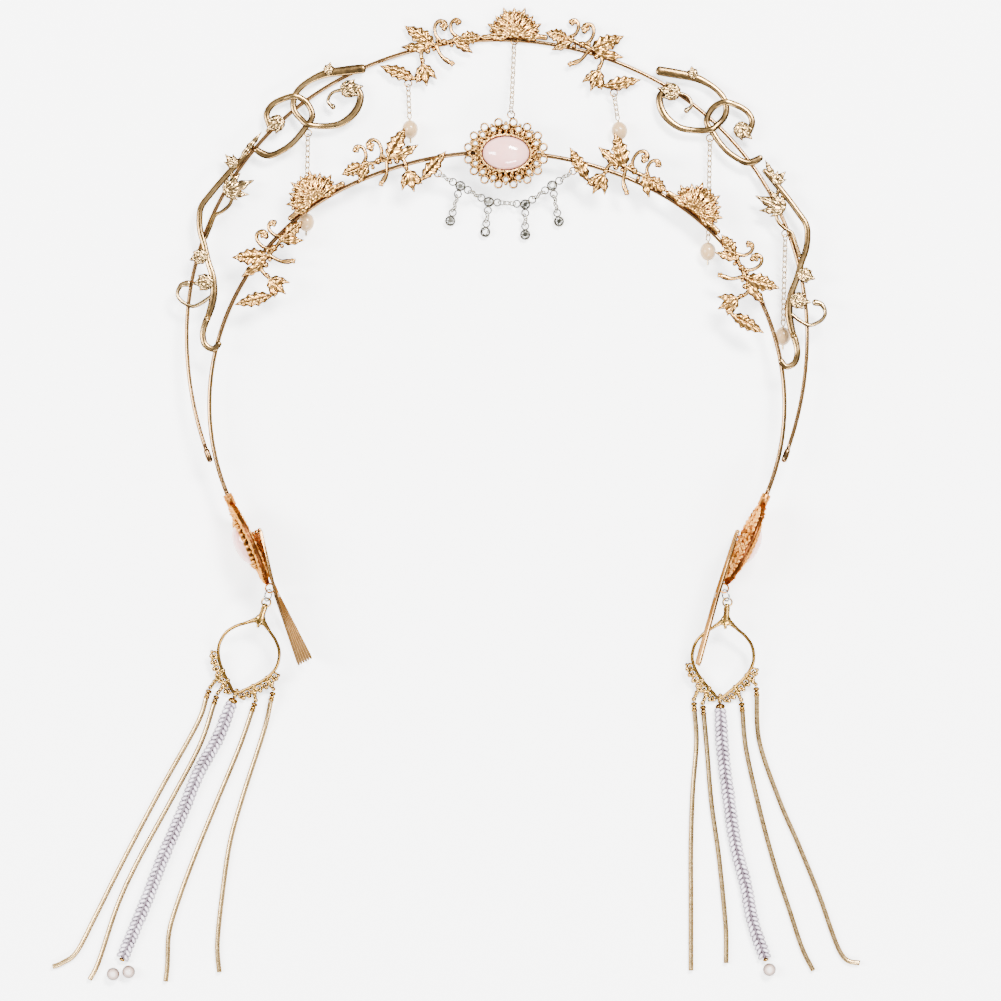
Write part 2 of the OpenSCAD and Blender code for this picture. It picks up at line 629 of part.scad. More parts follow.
// The two points that the side eyes of a cup face
function sides_of(k) = k == 0 ? [swag_end(L), swag_cups[1]] :
    k == 3 ? [swag_cups[2], swag_end(R)] : [swag_cups[k - 1], swag_cups[k + 1]];
function beside_cup(c, to, r) = c + r * unit([to[0] - c[0], to[1] - c[1], 0]);

module cup(c, faces) {
    translate(c - [0, 0, CUP_EYE_Z + CUP_H / 2]) rotate_extrude($fn = CUP_SIDES)
        polygon([[0, 0], [cup_r * 0.8, 0], [cup_r, CUP_H * 0.4], [cup_r, CUP_H],
                 [cup_r - CUP_WALL, CUP_H], [cup_r - CUP_WALL, CUP_H * 0.55], [0, CUP_H * 0.25]]);
    for (to = faces) translate(beside_cup(c, to, cup_eye) - [0, 0, EYE_T / 2])
        linear_extrude(EYE_T) difference() {
            circle(eye_r, $fn = CUP_SIDES);
            circle(eye_r - EYE_BAR, $fn = CUP_SIDES);
        }
}

module swag_settings() {
    color(gold) for (k = [0 : 3]) {
        cup(swag_cups[k], concat(sides_of(k), [drop_cup(k)]));
        cup(drop_cup(k), [swag_cups[k]]);
    }
}

module gem(c) {
    r = rhinestone_d / 2;
    translate(c - [0, 0, CUP_EYE_Z + CUP_H * 0.15]) rotate_extrude($fn = 8)
        polygon([[0, 0], [r, CUP_H * 0.35], [r, CUP_H * 0.5], [r * 0.6, CUP_H * 0.85],
                 [0, CUP_H * 0.85]]);
}

module swag_stones() {
    color(clear) for (k = [0 : 3]) {
        gem(swag_cups[k]);
        gem(drop_cup(k));
    }
}

module swag_chain() {
    color(gold) {
        for (side = [L, R]) let (end = swag_end(side), c = outer_cup(side))
            chain(bar_towards(end, c), beside_cup(c, end, cup_bar));
        for (k = [0 : 2]) let (a = swag_cups[k], b = swag_cups[k + 1])
            chain(beside_cup(a, b, cup_bar), beside_cup(b, a, cup_bar));
        for (k = [0 : 3]) let (a = swag_cups[k], b = drop_cup(k))
            chain(beside_cup(a, b, cup_bar), beside_cup(b, a, cup_bar));
    }
}

// Side plates

// Lean of a plate's upper edge inwards, for the left and the right side
PLATE_LEANS = [9, -8];
// X runs down along the plate from the end of the front band, Z faces outwards.
module at_join(side, lean = 0) {
    at_side(side) translate([join[0], join[1], join_z]) rotate([0, 0, -FRONT_END])
        rotate([lean - 90, 0, 0]) children();
}

SOCKET_L = 2;
SOCKET_WALL = 0.5;
RING_BAR = 0.5;
JUMP_RING_WIRE = 0.45;
RING_HOLE_R = 0.95;
ring_bar_r = RING_HOLE_R + RING_BAR / 2;
plate_mid = plate_l / 2;
plate_eye_x = plate_l + ring_bar_r;

module ring_eye_flat() {
    linear_extrude(RING_BAR, center = true) difference() {
        circle(RING_HOLE_R + RING_BAR, $fn = 12);
        circle(RING_HOLE_R, $fn = 12);
    }
}

module side_plate(side) {
    sides_r = (plate_l * plate_l + plate_w * plate_w) / 4 / plate_w;
    bore = front_wire_d + 2 * gap;
    hole_at = [side_stone_l / 2 + 2.4, side_stone_w / 2 + 2.3];
    color(rose_gold) at_join(side, of_side(PLATE_LEANS, side)) {
        linear_extrude(plate_t, center = true) difference() {
            translate([plate_mid, 0]) intersection_for (s = [-1, 1])
                translate([0, s * (sides_r - plate_w / 2)]) circle(sides_r, $fn = 120);
            for (a = [15 : 30 : 345])
                translate([plate_mid + hole_at[0] * cos(a), hole_at[1] * sin(a)])
                    circle(0.75, $fn = 16);
            translate([-plate_mid, -plate_w / 2]) square([plate_mid + gap, plate_w]);
        }
        translate([plate_mid, 0, plate_t / 2 - gap]) bezel(side_stone_l, side_stone_w);
        translate([gap, 0, 0]) rotate([0, 90, 0]) cylinder(h = 1.5, d = bore + 2 * SOCKET_WALL);
        translate([-SOCKET_L, 0, 0]) rotate([0, 90, 0]) difference() {
            cylinder(h = SOCKET_L + 2 * gap, d = bore + 2 * SOCKET_WALL);
            translate([0, 0, -gap]) cylinder(h = SOCKET_L + 2 * gap, d = bore);
        }
        translate([plate_eye_x, 0, 0]) rotate([90 - of_side(PLATE_LEANS, side), 0, 0])
            ring_eye_flat();
    }
}

module side_stone(side) {
    color(pink) at_join(side, of_side(PLATE_LEANS, side))
        translate([plate_mid, 0, plate_t / 2 - gap])
        cabochon(side_stone_l, side_stone_w, side_stone_h);
}

// Combs: a bar along the plate's lower end carries pairs of prongs on both sides of it.
COMB_BAR_D = 1.6;
COMB_UP_SHARE = 0.48;
// Leans inwards above the bar and outwards below it, for the left and the right side
COMB_LEANS = [[6.5, 1.5], [6.8, 9]];
// How far the ends of the prongs fan out, for the left and the right side
COMB_FANS = [3.1, 0.3];
PRONGS = 6;
comb_x = plate_eye_x + RING_HOLE_R + RING_BAR + COMB_BAR_D / 2 + 0.3;
WIRE_SIDES = 10;
comb_z = -plate_t - prong_d / 2 + 0.4;
COMB_DROP = -0.3;
module comb(side) {
    lean = of_side(COMB_LEANS, side);
    fan = of_side(COMB_FANS, side);
    function prong_end(l, turn, out) = [l * cos(turn), l * sin(turn) + out];
    color(gold) at_join(side) translate([comb_x, COMB_DROP, comb_z]) {
        rotate([90, 0, 0])
            cylinder(h = comb_w + prong_d, d = COMB_BAR_D, center = true, $fn = WIRE_SIDES);
        for (k = [0 : PRONGS - 1])
            let (s = k / (PRONGS - 1) - 0.5, y = s * comb_w,
                 up = prong_end(-comb_l * COMB_UP_SHARE, lean[0], s * fan),
                 down = prong_end(comb_l * (1 - COMB_UP_SHARE), lean[1], -s * fan)) {
                for (p = [up, down]) aim([0, y, 0], [p[0], y, p[1]]) rotate([0, 90, 0]) {
                    cylinder(h = norm(p) - prong_d / 2, d = prong_d, $fn = WIRE_SIDES);
                    cylinder(h = norm(p), d = prong_d * 0.6, $fn = WIRE_SIDES);
                }
                if (k % 2 == 0)
                    aim([up[0], y, up[1]], [up[0], y + comb_w, up[1] + fan])
                        rotate([0, 90, 0])
                            cylinder(h = norm([comb_w, fan]) / (PRONGS - 1), d = prong_d,
                                     $fn = WIRE_SIDES);
            }
    }
}

// Jump rings and hoops

jump_r = (jump_ring_d - JUMP_RING_WIRE) / 2;
// Room between a jump ring and the eyes that it joins
JUMP_SLACK = 0.35;
// Distance between the holes that a jump ring joins
jump_reach = 2 * (jump_r + RING_HOLE_R - JUMP_RING_WIRE / 2 - JUMP_SLACK);
JUMP_TURN = 60;
// Angles from straight down of [the jump ring, outwards; the hoop, to the left]
HANGS = [[15, 19.5], [14, 4]];
plate_eye_at = join + turned([plate_eye_x, 0], -FRONT_END);
function hoop_eye_at(side) =
    let (h = of_side(HANGS, side)[0], p = plate_eye_at + jump_reach * [sin(h), -cos(h)])
    [side * p[0], p[1], join_z - ring_bar_r * sin(hoop_fall)];

module jump_ring(side) {
    h = of_side(HANGS, side)[0];
    p = [plate_eye_at[0], plate_eye_at[1], join_z];
    color("silver") at_side(side) translate(p + jump_reach / 2 * [sin(h), -cos(h), 0])
        rotate([0, 0, h - 90]) rotate([JUMP_TURN, 0, 0]) ring(jump_r, JUMP_RING_WIRE);
}

// Outline of a hoop: [distance from the eye in shares of its length, half width in shares]
HOOP_OUTLINE = [[0.19, 0.12], [0.26, 0.36], [0.33, 0.66], [0.42, 0.90], [0.52, 1],
                [0.62, 0.99], [0.73, 0.84], [0.84, 0.56], [0.93, 0.27], [1, 0]];
// Rays of the lace that carry the strands, in the same shares, with Y to the right
LACE_STARTS = [[0.82, -0.62], [0.90, -0.36], [0.97, 0.02], [0.87, 0.47], [0.74, 0.82]];
LACE_ENDS = [[1.03, -0.84], [1.06, -0.54], [1.03, 0.02], [1.00, 0.72], [0.83, 1.16]];
LACE_W = 2.2;
LACE_T = 0.7;
LACE_END_R = 0.45;
LACE_OUT = [0.62, 0.79];
// The hoop falls from the bar of its eye until the lace's lowest end is just above the table.
hoop_fall = asin((join_z - LACE_T) / (LACE_ENDS[1][0] * hoop_l + ring_bar_r));
function hoop_point(p) = [p[0] * hoop_l, p[1] * hoop_w / 2];
function hoop_heading(side) = -90 - of_side(HANGS, side)[1];
function on_hoop(side, p) =
    let (q = turned([p[0] * cos(hoop_fall), p[1]], hoop_heading(side)))
    hoop_eye_at(side) + [q[0], q[1], -p[0] * sin(hoop_fall)];

module hoop(side) {
    last = len(HOOP_OUTLINE) - 1;
    outline = concat(HOOP_OUTLINE, [for (k = [last - 1 : -1 : 0])
                                       [HOOP_OUTLINE[k][0], -HOOP_OUTLINE[k][1]]]);
    lace_line = spline([for (k = [5 : last]) HOOP_OUTLINE[k]], 2);
    neck = [ring_bar_r, 0.19 * hoop_l];
    loop_r = LACE_W / 2;
    color(gold) translate(hoop_eye_at(side)) rotate([0, 0, hoop_heading(side)])
        rotate([0, hoop_fall, 0]) {
            ring_eye_flat();
            linear_extrude(LACE_T, center = true) {
                stroke([[neck[0], 0, 0.7], [(neck[0] + neck[1]) / 2, 0, 0.8], [neck[1], 0, 1.3]]);
                for (s = [-1, 1], k = [1 : len(lace_line) - 2])
                    let (p = hoop_point([lace_line[k][0], s * lace_line[k][1]]))
                        translate(p + loop_r * [LACE_OUT[0], s * LACE_OUT[1]]) difference() {
                            circle(loop_r, $fn = 16);
                            circle(loop_r - LOOP_BAR, $fn = 16);
                        }
                for (k = [0 : len(LACE_ENDS) - 1])
                    let (p = hoop_point(LACE_STARTS[k]), q = hoop_point(LACE_ENDS[k]))
                        stroke([[p[0], p[1], 0.6], [q[0], q[1], LACE_END_R]]);
            }
            wire([for (p = spline(outline, 2, true)) let (q = hoop_point(p))
                [q[0], q[1], 0, hoop_wire / 2, hoop_wire / 2]], 6, true);
        }
}

// Tassels

// Routes of the strands on the table, from their first bend to their end, and places of the
// end pearls, all from the eye of their hoop
ROUTE_L1 = [[-19, -33], [-29, -51], [-39, -70], [-46.5, -85], [-51.5, -94.5], [-55.5, -97.5],
            [-58, -98.5]];
ROUTE_L2 = [[-18.2, -38.6], [-26, -53.5], [-35, -70], [-40.5, -82], [-45.5, -97], [-48, -102]];
ROUTE_L3 = [[-7.5, -39], [-13.5, -53.5], [-19, -67], [-23.5, -79], [-26.5, -89], [-27, -98],
            [-27.5, -102.5]];
ROUTE_L4 = [[-1, -35], [-6.5, -52], [-10, -64.5], [-12, -77.5], [-13.5, -92], [-13, -100]];
ROUTE_R1 = [[-8, -38], [-9, -51], [-9.5, -65.5], [-9.5, -80.5], [-9.5, -99.5]];
ROUTE_R2 = [[-5.2, -39.5], [-4, -54], [-2, -68.5], [-0.5, -83], [0, -90], [0, -97.5]];
ROUTE_R3 = [[5.5, -40.5], [9.5, -58], [13.5, -72.5], [17, -83], [20.5, -93.5], [23.5, -99.5]];
ROUTE_R4 = [[9, -38], [14.5, -54], [19.5, -65.5], [25, -79], [31, -95], [36, -97.5]];
ROPE_ROUTE_L = [[-13.6, -37.2], [-18.5, -46], [-23, -57], [-28, -68.5], [-32, -79],
                [-35.5, -87.5], [-39.5, -97]];
ROPE_ROUTE_R = [[-1, -39.5], [0.5, -52], [2.5, -65.5], [5.5, -77.5], [7, -86], [10.8, -97]];
END_PEARLS_L = [[-41.6, -100.4], [-37.4, -99.8]];
END_PEARLS_R = [[11.6, -99.2]];

STRAND_SIDES = 8;
CAP_L = 2.4;
// Fall of a cap in shares of the strand's first slope, and length of its step
CAP_FALL = 0.6;
CAP_STEP = 0.3;
cap_r = snake_d / 2 + 0.25;
function on_table(side, p) = [hoop_eye_at(side)[0] + p[0], hoop_eye_at(side)[1] + p[1]];

// Path of a strand from the end of the hoop's lace down to the table and along its route,
// where its section [half width, half height] changes from the cap's to its own
function strand_path(side, k, route, cap, own) =
    let (points = [for (p = route) on_table(side, p)],
         end = on_hoop(side, hoop_point(LACE_ENDS[k])),
         u = unit([points[0][0] - end[0], points[0][1] - end[1], 0]),
         top = [end[0], end[1], max(end[2], cap[1])] + (LACE_END_R + gap) * u,
         slope = (top[2] - own[1]) / norm([points[0][0] - top[0], points[0][1] - top[1]]))
    concat([concat(top, cap), concat(top + CAP_L * (u - [0, 0, slope * CAP_FALL]), cap)],
           spline(concat([concat(top + (CAP_L + CAP_STEP) * (u - [0, 0, slope * CAP_FALL]), own)],
                         [for (p = points) concat(p, own[1], own)]), 3));

module strand(path) {
    wire([for (r = path) [r[0], r[1], max(r[2], r[4]), r[3], r[4]]], STRAND_SIDES,
         false, 180 / STRAND_SIDES);
}

module snake_chain(side, k, route) {
    color(gold) strand(strand_path(side, k, route, [cap_r, cap_r], [snake_d / 2, snake_d / 2]));
}

module pearl_rope(side, route) {
    color(white) strand(strand_path(side, 2, route, [rope_w * 0.4, rope_t / 2],
                                    [rope_w / 2, rope_t / 2]));
}

module end_pearls(side, places) {
    color("ivory") for (p = places) translate(concat(on_table(side, p), end_pearl_d / 2))
        sphere(end_pearl_d / 2);
}

front_band();
crown_band();
front_leaf_spray(L);  // front_leaf_spray_l
front_leaf_spray(R);  // front_leaf_spray_r
side_leaf_spray(L);  // side_leaf_spray_l
side_leaf_spray(R);  // side_leaf_spray_r
crown_leaf_spray(L);  // crown_leaf_spray_l
crown_leaf_spray(R);  // crown_leaf_spray_r
front_fan(L);  // front_fan_l
front_fan(R);  // front_fan_r
crown_fan();
ring_pair(L);  // ring_pair_l
ring_pair(R);  // ring_pair_r
leaf_scroll(L, []);  // leaf_scroll_l
leaf_scroll(R, [scroll_eye]);  // leaf_scroll_r
centre_setting();
centre_stone();
centre_chain();
pearl_chain(DROP_L1);  // pearl_chain_l1
pearl_chain(DROP_L2);  // pearl_chain_l2
pearl_chain(DROP_R1);  // pearl_chain_r1
pearl_chain(DROP_R2);  // pearl_chain_r2
pearl_chain(DROP_R3);  // pearl_chain_r3
pearl(DROP_L1);  // pearl_l1
pearl(DROP_L2);  // pearl_l2
pearl(DROP_R1);  // pearl_r1
pearl(DROP_R2);  // pearl_r2
pearl(DROP_R3);  // pearl_r3
swag_chain();
swag_settings();
swag_stones();
side_plate(L);  // side_plate_l
side_plate(R);  // side_plate_r
side_stone(L);  // side_stone_l
side_stone(R);  // side_stone_r
comb(L);  // comb_l
comb(R);  // comb_r
jump_ring(L);  // jump_ring_l
jump_ring(R);  // jump_ring_r
hoop(L);  // hoop_l
hoop(R);  // hoop_r
snake_chain(L, 0, ROUTE_L1);  // snake_chain_l1
snake_chain(L, 1, ROUTE_L2);  // snake_chain_l2
snake_chain(L, 3, ROUTE_L3);  // snake_chain_l3
snake_chain(L, 4, ROUTE_L4);  // snake_chain_l4
snake_chain(R, 0, ROUTE_R1);  // snake_chain_r1
snake_chain(R, 1, ROUTE_R2);  // snake_chain_r2
snake_chain(R, 3, ROUTE_R3);  // snake_chain_r3
snake_chain(R, 4, ROUTE_R4);  // snake_chain_r4
pearl_rope(L, ROPE_ROUTE_L);  // pearl_rope_l
pearl_rope(R, ROPE_ROUTE_R);  // pearl_rope_r
end_pearls(L, END_PEARLS_L);  // end_pearls_l
end_pearls(R, END_PEARLS_R);  // end_pearls_r
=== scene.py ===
import math
import random
from collections import namedtuple
import bpy
import numpy as np
from mathutils import Matrix, Vector


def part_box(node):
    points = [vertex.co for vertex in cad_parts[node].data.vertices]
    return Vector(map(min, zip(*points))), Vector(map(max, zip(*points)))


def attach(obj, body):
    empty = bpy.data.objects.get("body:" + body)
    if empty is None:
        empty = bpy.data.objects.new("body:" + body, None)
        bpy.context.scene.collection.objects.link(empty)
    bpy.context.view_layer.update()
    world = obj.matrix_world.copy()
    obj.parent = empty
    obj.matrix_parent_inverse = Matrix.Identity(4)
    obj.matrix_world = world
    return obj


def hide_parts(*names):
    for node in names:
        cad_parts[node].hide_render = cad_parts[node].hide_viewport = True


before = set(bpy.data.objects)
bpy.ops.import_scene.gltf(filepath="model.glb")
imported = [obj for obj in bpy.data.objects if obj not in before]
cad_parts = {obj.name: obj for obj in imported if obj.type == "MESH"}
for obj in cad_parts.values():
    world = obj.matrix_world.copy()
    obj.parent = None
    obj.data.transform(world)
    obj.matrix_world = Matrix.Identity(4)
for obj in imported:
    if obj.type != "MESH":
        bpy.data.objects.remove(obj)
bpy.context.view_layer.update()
MM = 0.001
random.seed(11)

# Camera straight above, and the cool white light of a product table

CAMERA_HEIGHT = 1.4
VIEW_WIDTH = 0.27027
VIEW_MIDDLE = (0.000945, -0.025785)


def add_object(name, data):
    obj = bpy.data.objects.new(name, data)
    bpy.context.scene.collection.objects.link(obj)
    return obj


def add_camera():
    data = bpy.data.cameras.new("camera")
    data.angle = 2 * math.atan(VIEW_WIDTH / 2 / CAMERA_HEIGHT)
    data.clip_start = 0.01
    data.clip_end = 20
    camera = add_object("camera", data)
    camera.location = (*VIEW_MIDDLE, CAMERA_HEIGHT)
    bpy.context.scene.camera = camera


def area_light(name, place, size, power, colour):
    """Rectangle of light that points at the middle of the table"""
    data = bpy.data.lights.new(name, "AREA")
    data.shape = "RECTANGLE"
    data.size, data.size_y = size
    data.energy = power
    data.color = colour
    light = add_object(name, data)
    light.location = place
    light.rotation_euler = (-Vector(place)).to_track_quat("-Z", "Y").to_euler()


add_camera()
area_light("key", (0.45, 0.75, 1.25), (0.6, 0.3), 80.0, (1, 0.98, 0.96))
area_light("fill", (-0.95, 0.1, 1.0), (0.35, 0.8), 42.0, (0.97, 0.98, 1))
area_light("rim", (0.35, -1.0, 0.9), (0.8, 0.25), 26.0, (1, 1, 1))

# Shader nodes


def connect(tree, socket, value):
    """Gives a socket a value, or a link from another node's output"""
    if isinstance(value, bpy.types.NodeSocket):
        tree.links.new(value, socket)
    else:
        socket.default_value = value


def feed(tree, node, **inputs):
    for name, value in inputs.items():
        connect(tree, node.inputs[name.replace("_", " ")], value)


def add_node(tree, kind, **inputs):
    node = tree.nodes.new("ShaderNode" + kind)
    feed(tree, node, **inputs)
    return node


def ramp(tree, factor, stops):
    """Colour of a factor. Each stop is a place and a colour."""
    node = add_node(tree, "ValToRGB", Fac=factor)
    ends = node.color_ramp.elements
    while len(ends) < len(stops):
        ends.new(0.5)
    for element, (place, colour) in zip(ends, stops):
        element.position = place
        element.color = (*colour, 1)
    return node.outputs["Color"]


def noise(tree, scale, detail=3.0, space="Object"):
    place = add_node(tree, "TexCoord").outputs[space]
    return add_node(tree, "TexNoise", Scale=scale, Detail=detail, Vector=place).outputs["Fac"]


def maths(tree, kind, a, b, clamp=True):
    node = add_node(tree, "Math")
    node.operation = kind
    node.use_clamp = clamp
    for socket, value in zip(node.inputs, (a, b)):
        connect(tree, socket, value)
    return node.outputs[0]


def patina_and_painted_light_tone(tree):
    """Painted tone of each point, from 0 on the crests: painted shade in recesses and on flanks and
    undersides, patina as well in the castings' recesses, and on rhinestones a painted reflection
    """
    node = add_node(tree, "Attribute")
    node.attribute_name = "patina_and_painted_light"
    return node.outputs["Fac"]


def bump(tree, height, strength, distance):
    node = add_node(tree, "Bump", Strength=strength, Distance=distance, Height=height)
    return node.outputs["Normal"]


def node_material(name, metallic, roughness, **inputs):
    m = bpy.data.materials.new(name)
    m.use_nodes = True
    shader = m.node_tree.nodes["Principled BSDF"]
    feed(m.node_tree, shader, Metallic=metallic, Roughness=roughness, **inputs)
    return m, m.node_tree, shader


# The sky: white overhead, dark at mid height, and broken into soft bright cards

SKY_LEVELS = ((0.0, 0.75), (0.30, 0.55), (0.52, 0.10), (0.80, 0.30), (0.93, 1.0))
CARD_SCALE, CARD_DETAIL = 2.6, 0.5


def studio_sky():
    world = bpy.data.worlds.new("studio")
    bpy.context.scene.world = world
    world.use_nodes = True
    tree = world.node_tree
    place = add_node(tree, "TexCoord").outputs["Generated"]
    z = add_node(tree, "SeparateXYZ", Vector=place).outputs["Z"]
    bands = ramp(tree, z, [(height, (level,) * 3) for height, level in SKY_LEVELS])
    clouds = noise(tree, CARD_SCALE, CARD_DETAIL, "Generated")
    cards = add_node(tree, "MapRange", Value=clouds, From_Min=0.42, From_Max=0.58, To_Min=0.12,
                     To_Max=1.7)
    total = maths(tree, "MULTIPLY", bands, cards.outputs["Result"], clamp=False)
    feed(tree, tree.nodes["Background"], Color=(1, 1, 1, 1), Strength=total)


studio_sky()

# Metals, whose colour darkens with painted shade and patina in the relief's recesses and with painted
# shade on flanks and undersides, with stains, and which are a little grainy

EDGE_TINT = 0.62
PATINA_AND_SHADE_GAIN = 1.6
STAIN_SCALE = 260.0
GRAIN_SCALE, GRAIN_DEPTH = 900.0, 0.05 * MM


def metal(name, bright, middle, deep, roughness, stain=0.30):
    m, tree, shader = node_material(name, 1.0, roughness)
    # painted shade and patina pick each metal's colour from bright down to deep; the noise adds real
    # stains
    patina_and_painted_light = maths(tree, "MULTIPLY", patina_and_painted_light_tone(tree), PATINA_AND_SHADE_GAIN)
    patina_shade_and_stain = maths(tree, "ADD", patina_and_painted_light, maths(tree, "MULTIPLY", noise(tree, STAIN_SCALE), stain))
    grain = noise(tree, GRAIN_SCALE, 2.0)
    rough = [(0.3, (roughness * 0.8,) * 3), (0.8, (roughness * 1.35,) * 3)]
    feed(tree, shader, Specular_Tint=(*(EDGE_TINT * c for c in bright), 1),
         Base_Color=ramp(tree, patina_shade_and_stain, [(0.0, bright), (0.38, middle), (1.0, deep)]),
         Roughness=ramp(tree, grain, rough), Normal=bump(tree, grain, 0.25, GRAIN_DEPTH))
    return m


CAST = metal("cast_rose_gold", (0.80, 0.49, 0.18), (0.42, 0.21, 0.055), (0.035, 0.012, 0.004),
             0.25, stain=0.45)
BAND = metal("band_wire", (0.56, 0.37, 0.18), (0.30, 0.17, 0.07), (0.06, 0.03, 0.012), 0.18)
RING = metal("ring_ribbon", (0.64, 0.45, 0.22), (0.34, 0.21, 0.08), (0.05, 0.025, 0.01), 0.22)
FINE = metal("fine_gold", (0.48, 0.34, 0.17), (0.28, 0.19, 0.09), (0.10, 0.06, 0.025), 0.22)
SWAG = metal("swag_metal", (0.30, 0.27, 0.21), (0.17, 0.15, 0.11), (0.05, 0.04, 0.03), 0.24)
HOOP = metal("hoop_gold", (0.74, 0.45, 0.13), (0.42, 0.23, 0.05), (0.06, 0.028, 0.006), 0.22)
PLATE = metal("plate_gold", (0.86, 0.49, 0.17), (0.62, 0.25, 0.05), (0.10, 0.03, 0.008), 0.34)
COMB = metal("comb_wire", (0.84, 0.56, 0.26), (0.52, 0.28, 0.10), (0.10, 0.05, 0.018), 0.2)
SILVER = metal("silver_wire", (0.50, 0.50, 0.48), (0.28, 0.28, 0.28), (0.08, 0.08, 0.08), 0.14)
SNAKE = metal("snake_chain_metal", (0.90, 0.70, 0.37), (0.56, 0.37, 0.16), (0.10, 0.05, 0.016), 0.28)

# Pearls, seed beads and crystal beads, stones, and the table top


def pearl_material(name, stops, scale, translucence=0.15, coat=0.35):
    m, tree, shader = node_material(name, 0.0, 0.24, Coat_Weight=coat, Coat_Roughness=0.12,
                                    Subsurface_Weight=translucence, Specular_IOR_Level=0.3,
                                    Subsurface_Radius=(0.001, 0.0008, 0.0006))
    cloud = noise(tree, scale)
    # the tone adds painted shade on flanks and undersides to the cloudy colour
    tone = maths(tree, "ADD", patina_and_painted_light_tone(tree), maths(tree, "MULTIPLY", cloud, 0.10))
    feed(tree, shader, Base_Color=ramp(tree, tone, stops), Normal=bump(tree, cloud, 0.12, 0.1 * MM))
    return m


def cabochon_material():
    m, tree, shader = node_material("pink_cabochon", 0.0, 0.08, Coat_Weight=0.8,
                                    Coat_Roughness=0.04, Subsurface_Weight=0.4,
                                    Subsurface_Radius=(0.004, 0.0022, 0.002))
    cloud = noise(tree, 130.0, 4.0)
    pinks = [(0.30, (0.82, 0.39, 0.36)), (0.72, (0.89, 0.53, 0.48))]
    feed(tree, shader, Base_Color=ramp(tree, cloud, pinks), Normal=bump(tree, cloud, 0.06, 0.1 * MM))
    return m


def gem_material():
    """Each facet has one painted reflection tone, from the dark of a far facet to a painted white
    flash
    """
    m, tree, shader = node_material("clear_rhinestone", 0.0, 0.05, Coat_Weight=1.0, IOR=1.7)
    tones = [(0.0, (0.02, 0.02, 0.015)), (0.45, (0.30, 0.29, 0.24)), (1.0, (1.0, 1.0, 0.97))]
    feed(tree, shader, Base_Color=ramp(tree, patina_and_painted_light_tone(tree), tones),
         Normal=bump(tree, noise(tree, GRAIN_SCALE, 2.0), 0.05, GRAIN_DEPTH))
    return m


def table_material():
    m, tree, shader = node_material("white_table", 0.0, 0.55, Emission_Strength=2.3,
                                    Emission_Color=(1, 1, 1, 1))
    whites = [(0.3, (0.93,) * 3), (0.7, (0.95,) * 3)]
    feed(tree, shader, Base_Color=ramp(tree, noise(tree, 3.0, 2.0), whites))
    return m


# The dark end of each ramp is painted shade: on pearls' undersides, and dark painted outlines round
# seeds and crystal beads
PEARL = pearl_material("cream_pearl", [(0.0, (1.0, 0.93, 0.80)), (0.35, (0.90, 0.74, 0.52)),
                                       (1.0, (0.42, 0.24, 0.09))], 420.0)
SEED = pearl_material("seed_pearl", [(0.0, (0.90, 0.87, 0.93)), (0.28, (0.50, 0.43, 0.51)),
                                     (0.8, (0.05, 0.03, 0.04))], 700.0, 0.0, 0.1)
CRYSTAL = pearl_material("crystal_bead", [(0.0, (0.95, 0.93, 0.92)), (0.22, (0.58, 0.44, 0.38)),
                                          (0.7, (0.10, 0.05, 0.03))], 500.0, 0.0, 0.1)
PINK = cabochon_material()
GEM = gem_material()

# Shapes in millimetres, made into pieces in metres


def for_each(value, n):
    """The value repeated n times, or the n values themselves"""
    return np.broadcast_to(np.asarray(value, float), (n,))


class Shape:
    """Vertices, faces, and each vertex's tone from 0 to 1, which carries painted shade, patina in a
    recess, and a facet's painted flash
    """

    def __init__(self):
        self.verts, self.faces, self.tones, self.count = [], [], [], 0

    def add(self, verts, faces, tone=0.0, matrix=None):
        verts = np.asarray(verts, float)
        if matrix is not None:
            m = np.array(matrix)
            verts = verts @ m[:3, :3].T + m[:3, 3]
            if np.linalg.det(m[:3, :3]) < 0:
                faces = [f[::-1] for f in faces]
        n = self.count
        self.faces += [tuple(i + n for i in f) for f in faces]
        self.verts.append(verts)
        self.tones.append(for_each(tone, len(verts)))
        self.count += len(verts)


def piece(name, shape, material, nodes, flat=False, edge=0.3):
    """Makes a mesh with painted shade: its flanks and underside are toned darker than its top by
    edge.
    """
    mesh = bpy.data.meshes.new(name)
    verts = np.concatenate(shape.verts) * MM
    mesh.from_pydata(verts.tolist(), [], shape.faces)
    mesh.update()
    if not flat:
        mesh.shade_smooth()
    normals = np.empty(3 * len(verts), np.float32)
    mesh.vertices.foreach_get("normal", normals)
    # painted shade: the less a vertex faces up, the darker its tone
    level = np.clip(normals[2::3], 0, 1)
    tones = np.concatenate(shape.tones) + edge * (1 - level) ** 1.2
    tone = mesh.attributes.new("patina_and_painted_light", "FLOAT", "POINT")
    tone.data.foreach_set("value", tones.astype(np.float32))
    mesh.materials.append(material)
    obj = add_object(name, mesh)
    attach(obj, "root")
    if nodes:
        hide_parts(*nodes)


def unit(v):
    v = np.asarray(v, float)
    return v / np.linalg.norm(v)


def turned(v, a):
    c, s = cosd(a), sind(a)
    return v[0] * c - v[1] * s, v[0] * s + v[1] * c


def sind(a):
    return math.sin(math.radians(a))


def cosd(a):
    return math.cos(math.radians(a))


def translation(x, y, z):
    return Matrix.Translation((x, y, z))


def rotation(angle, axis):
    return Matrix.Rotation(math.radians(angle), 4, axis)


def on_oval(half_l, half_w, a):
    return half_l * cosd(a), half_w * sind(a)


def arch(share):
    """Height of a half round at a share of its half width"""
    return np.sqrt(np.clip(1 - share ** 2, 0, 1))


def heading(d):
    return math.atan2(d[1], d[0])


def scaled(rows, l, w=1.0):
    """Points given as shares of l, with w as the unit of what follows x and y in a row"""
    return [(x * l, y * l, *(q * w for q in more)) for x, y, *more in rows]


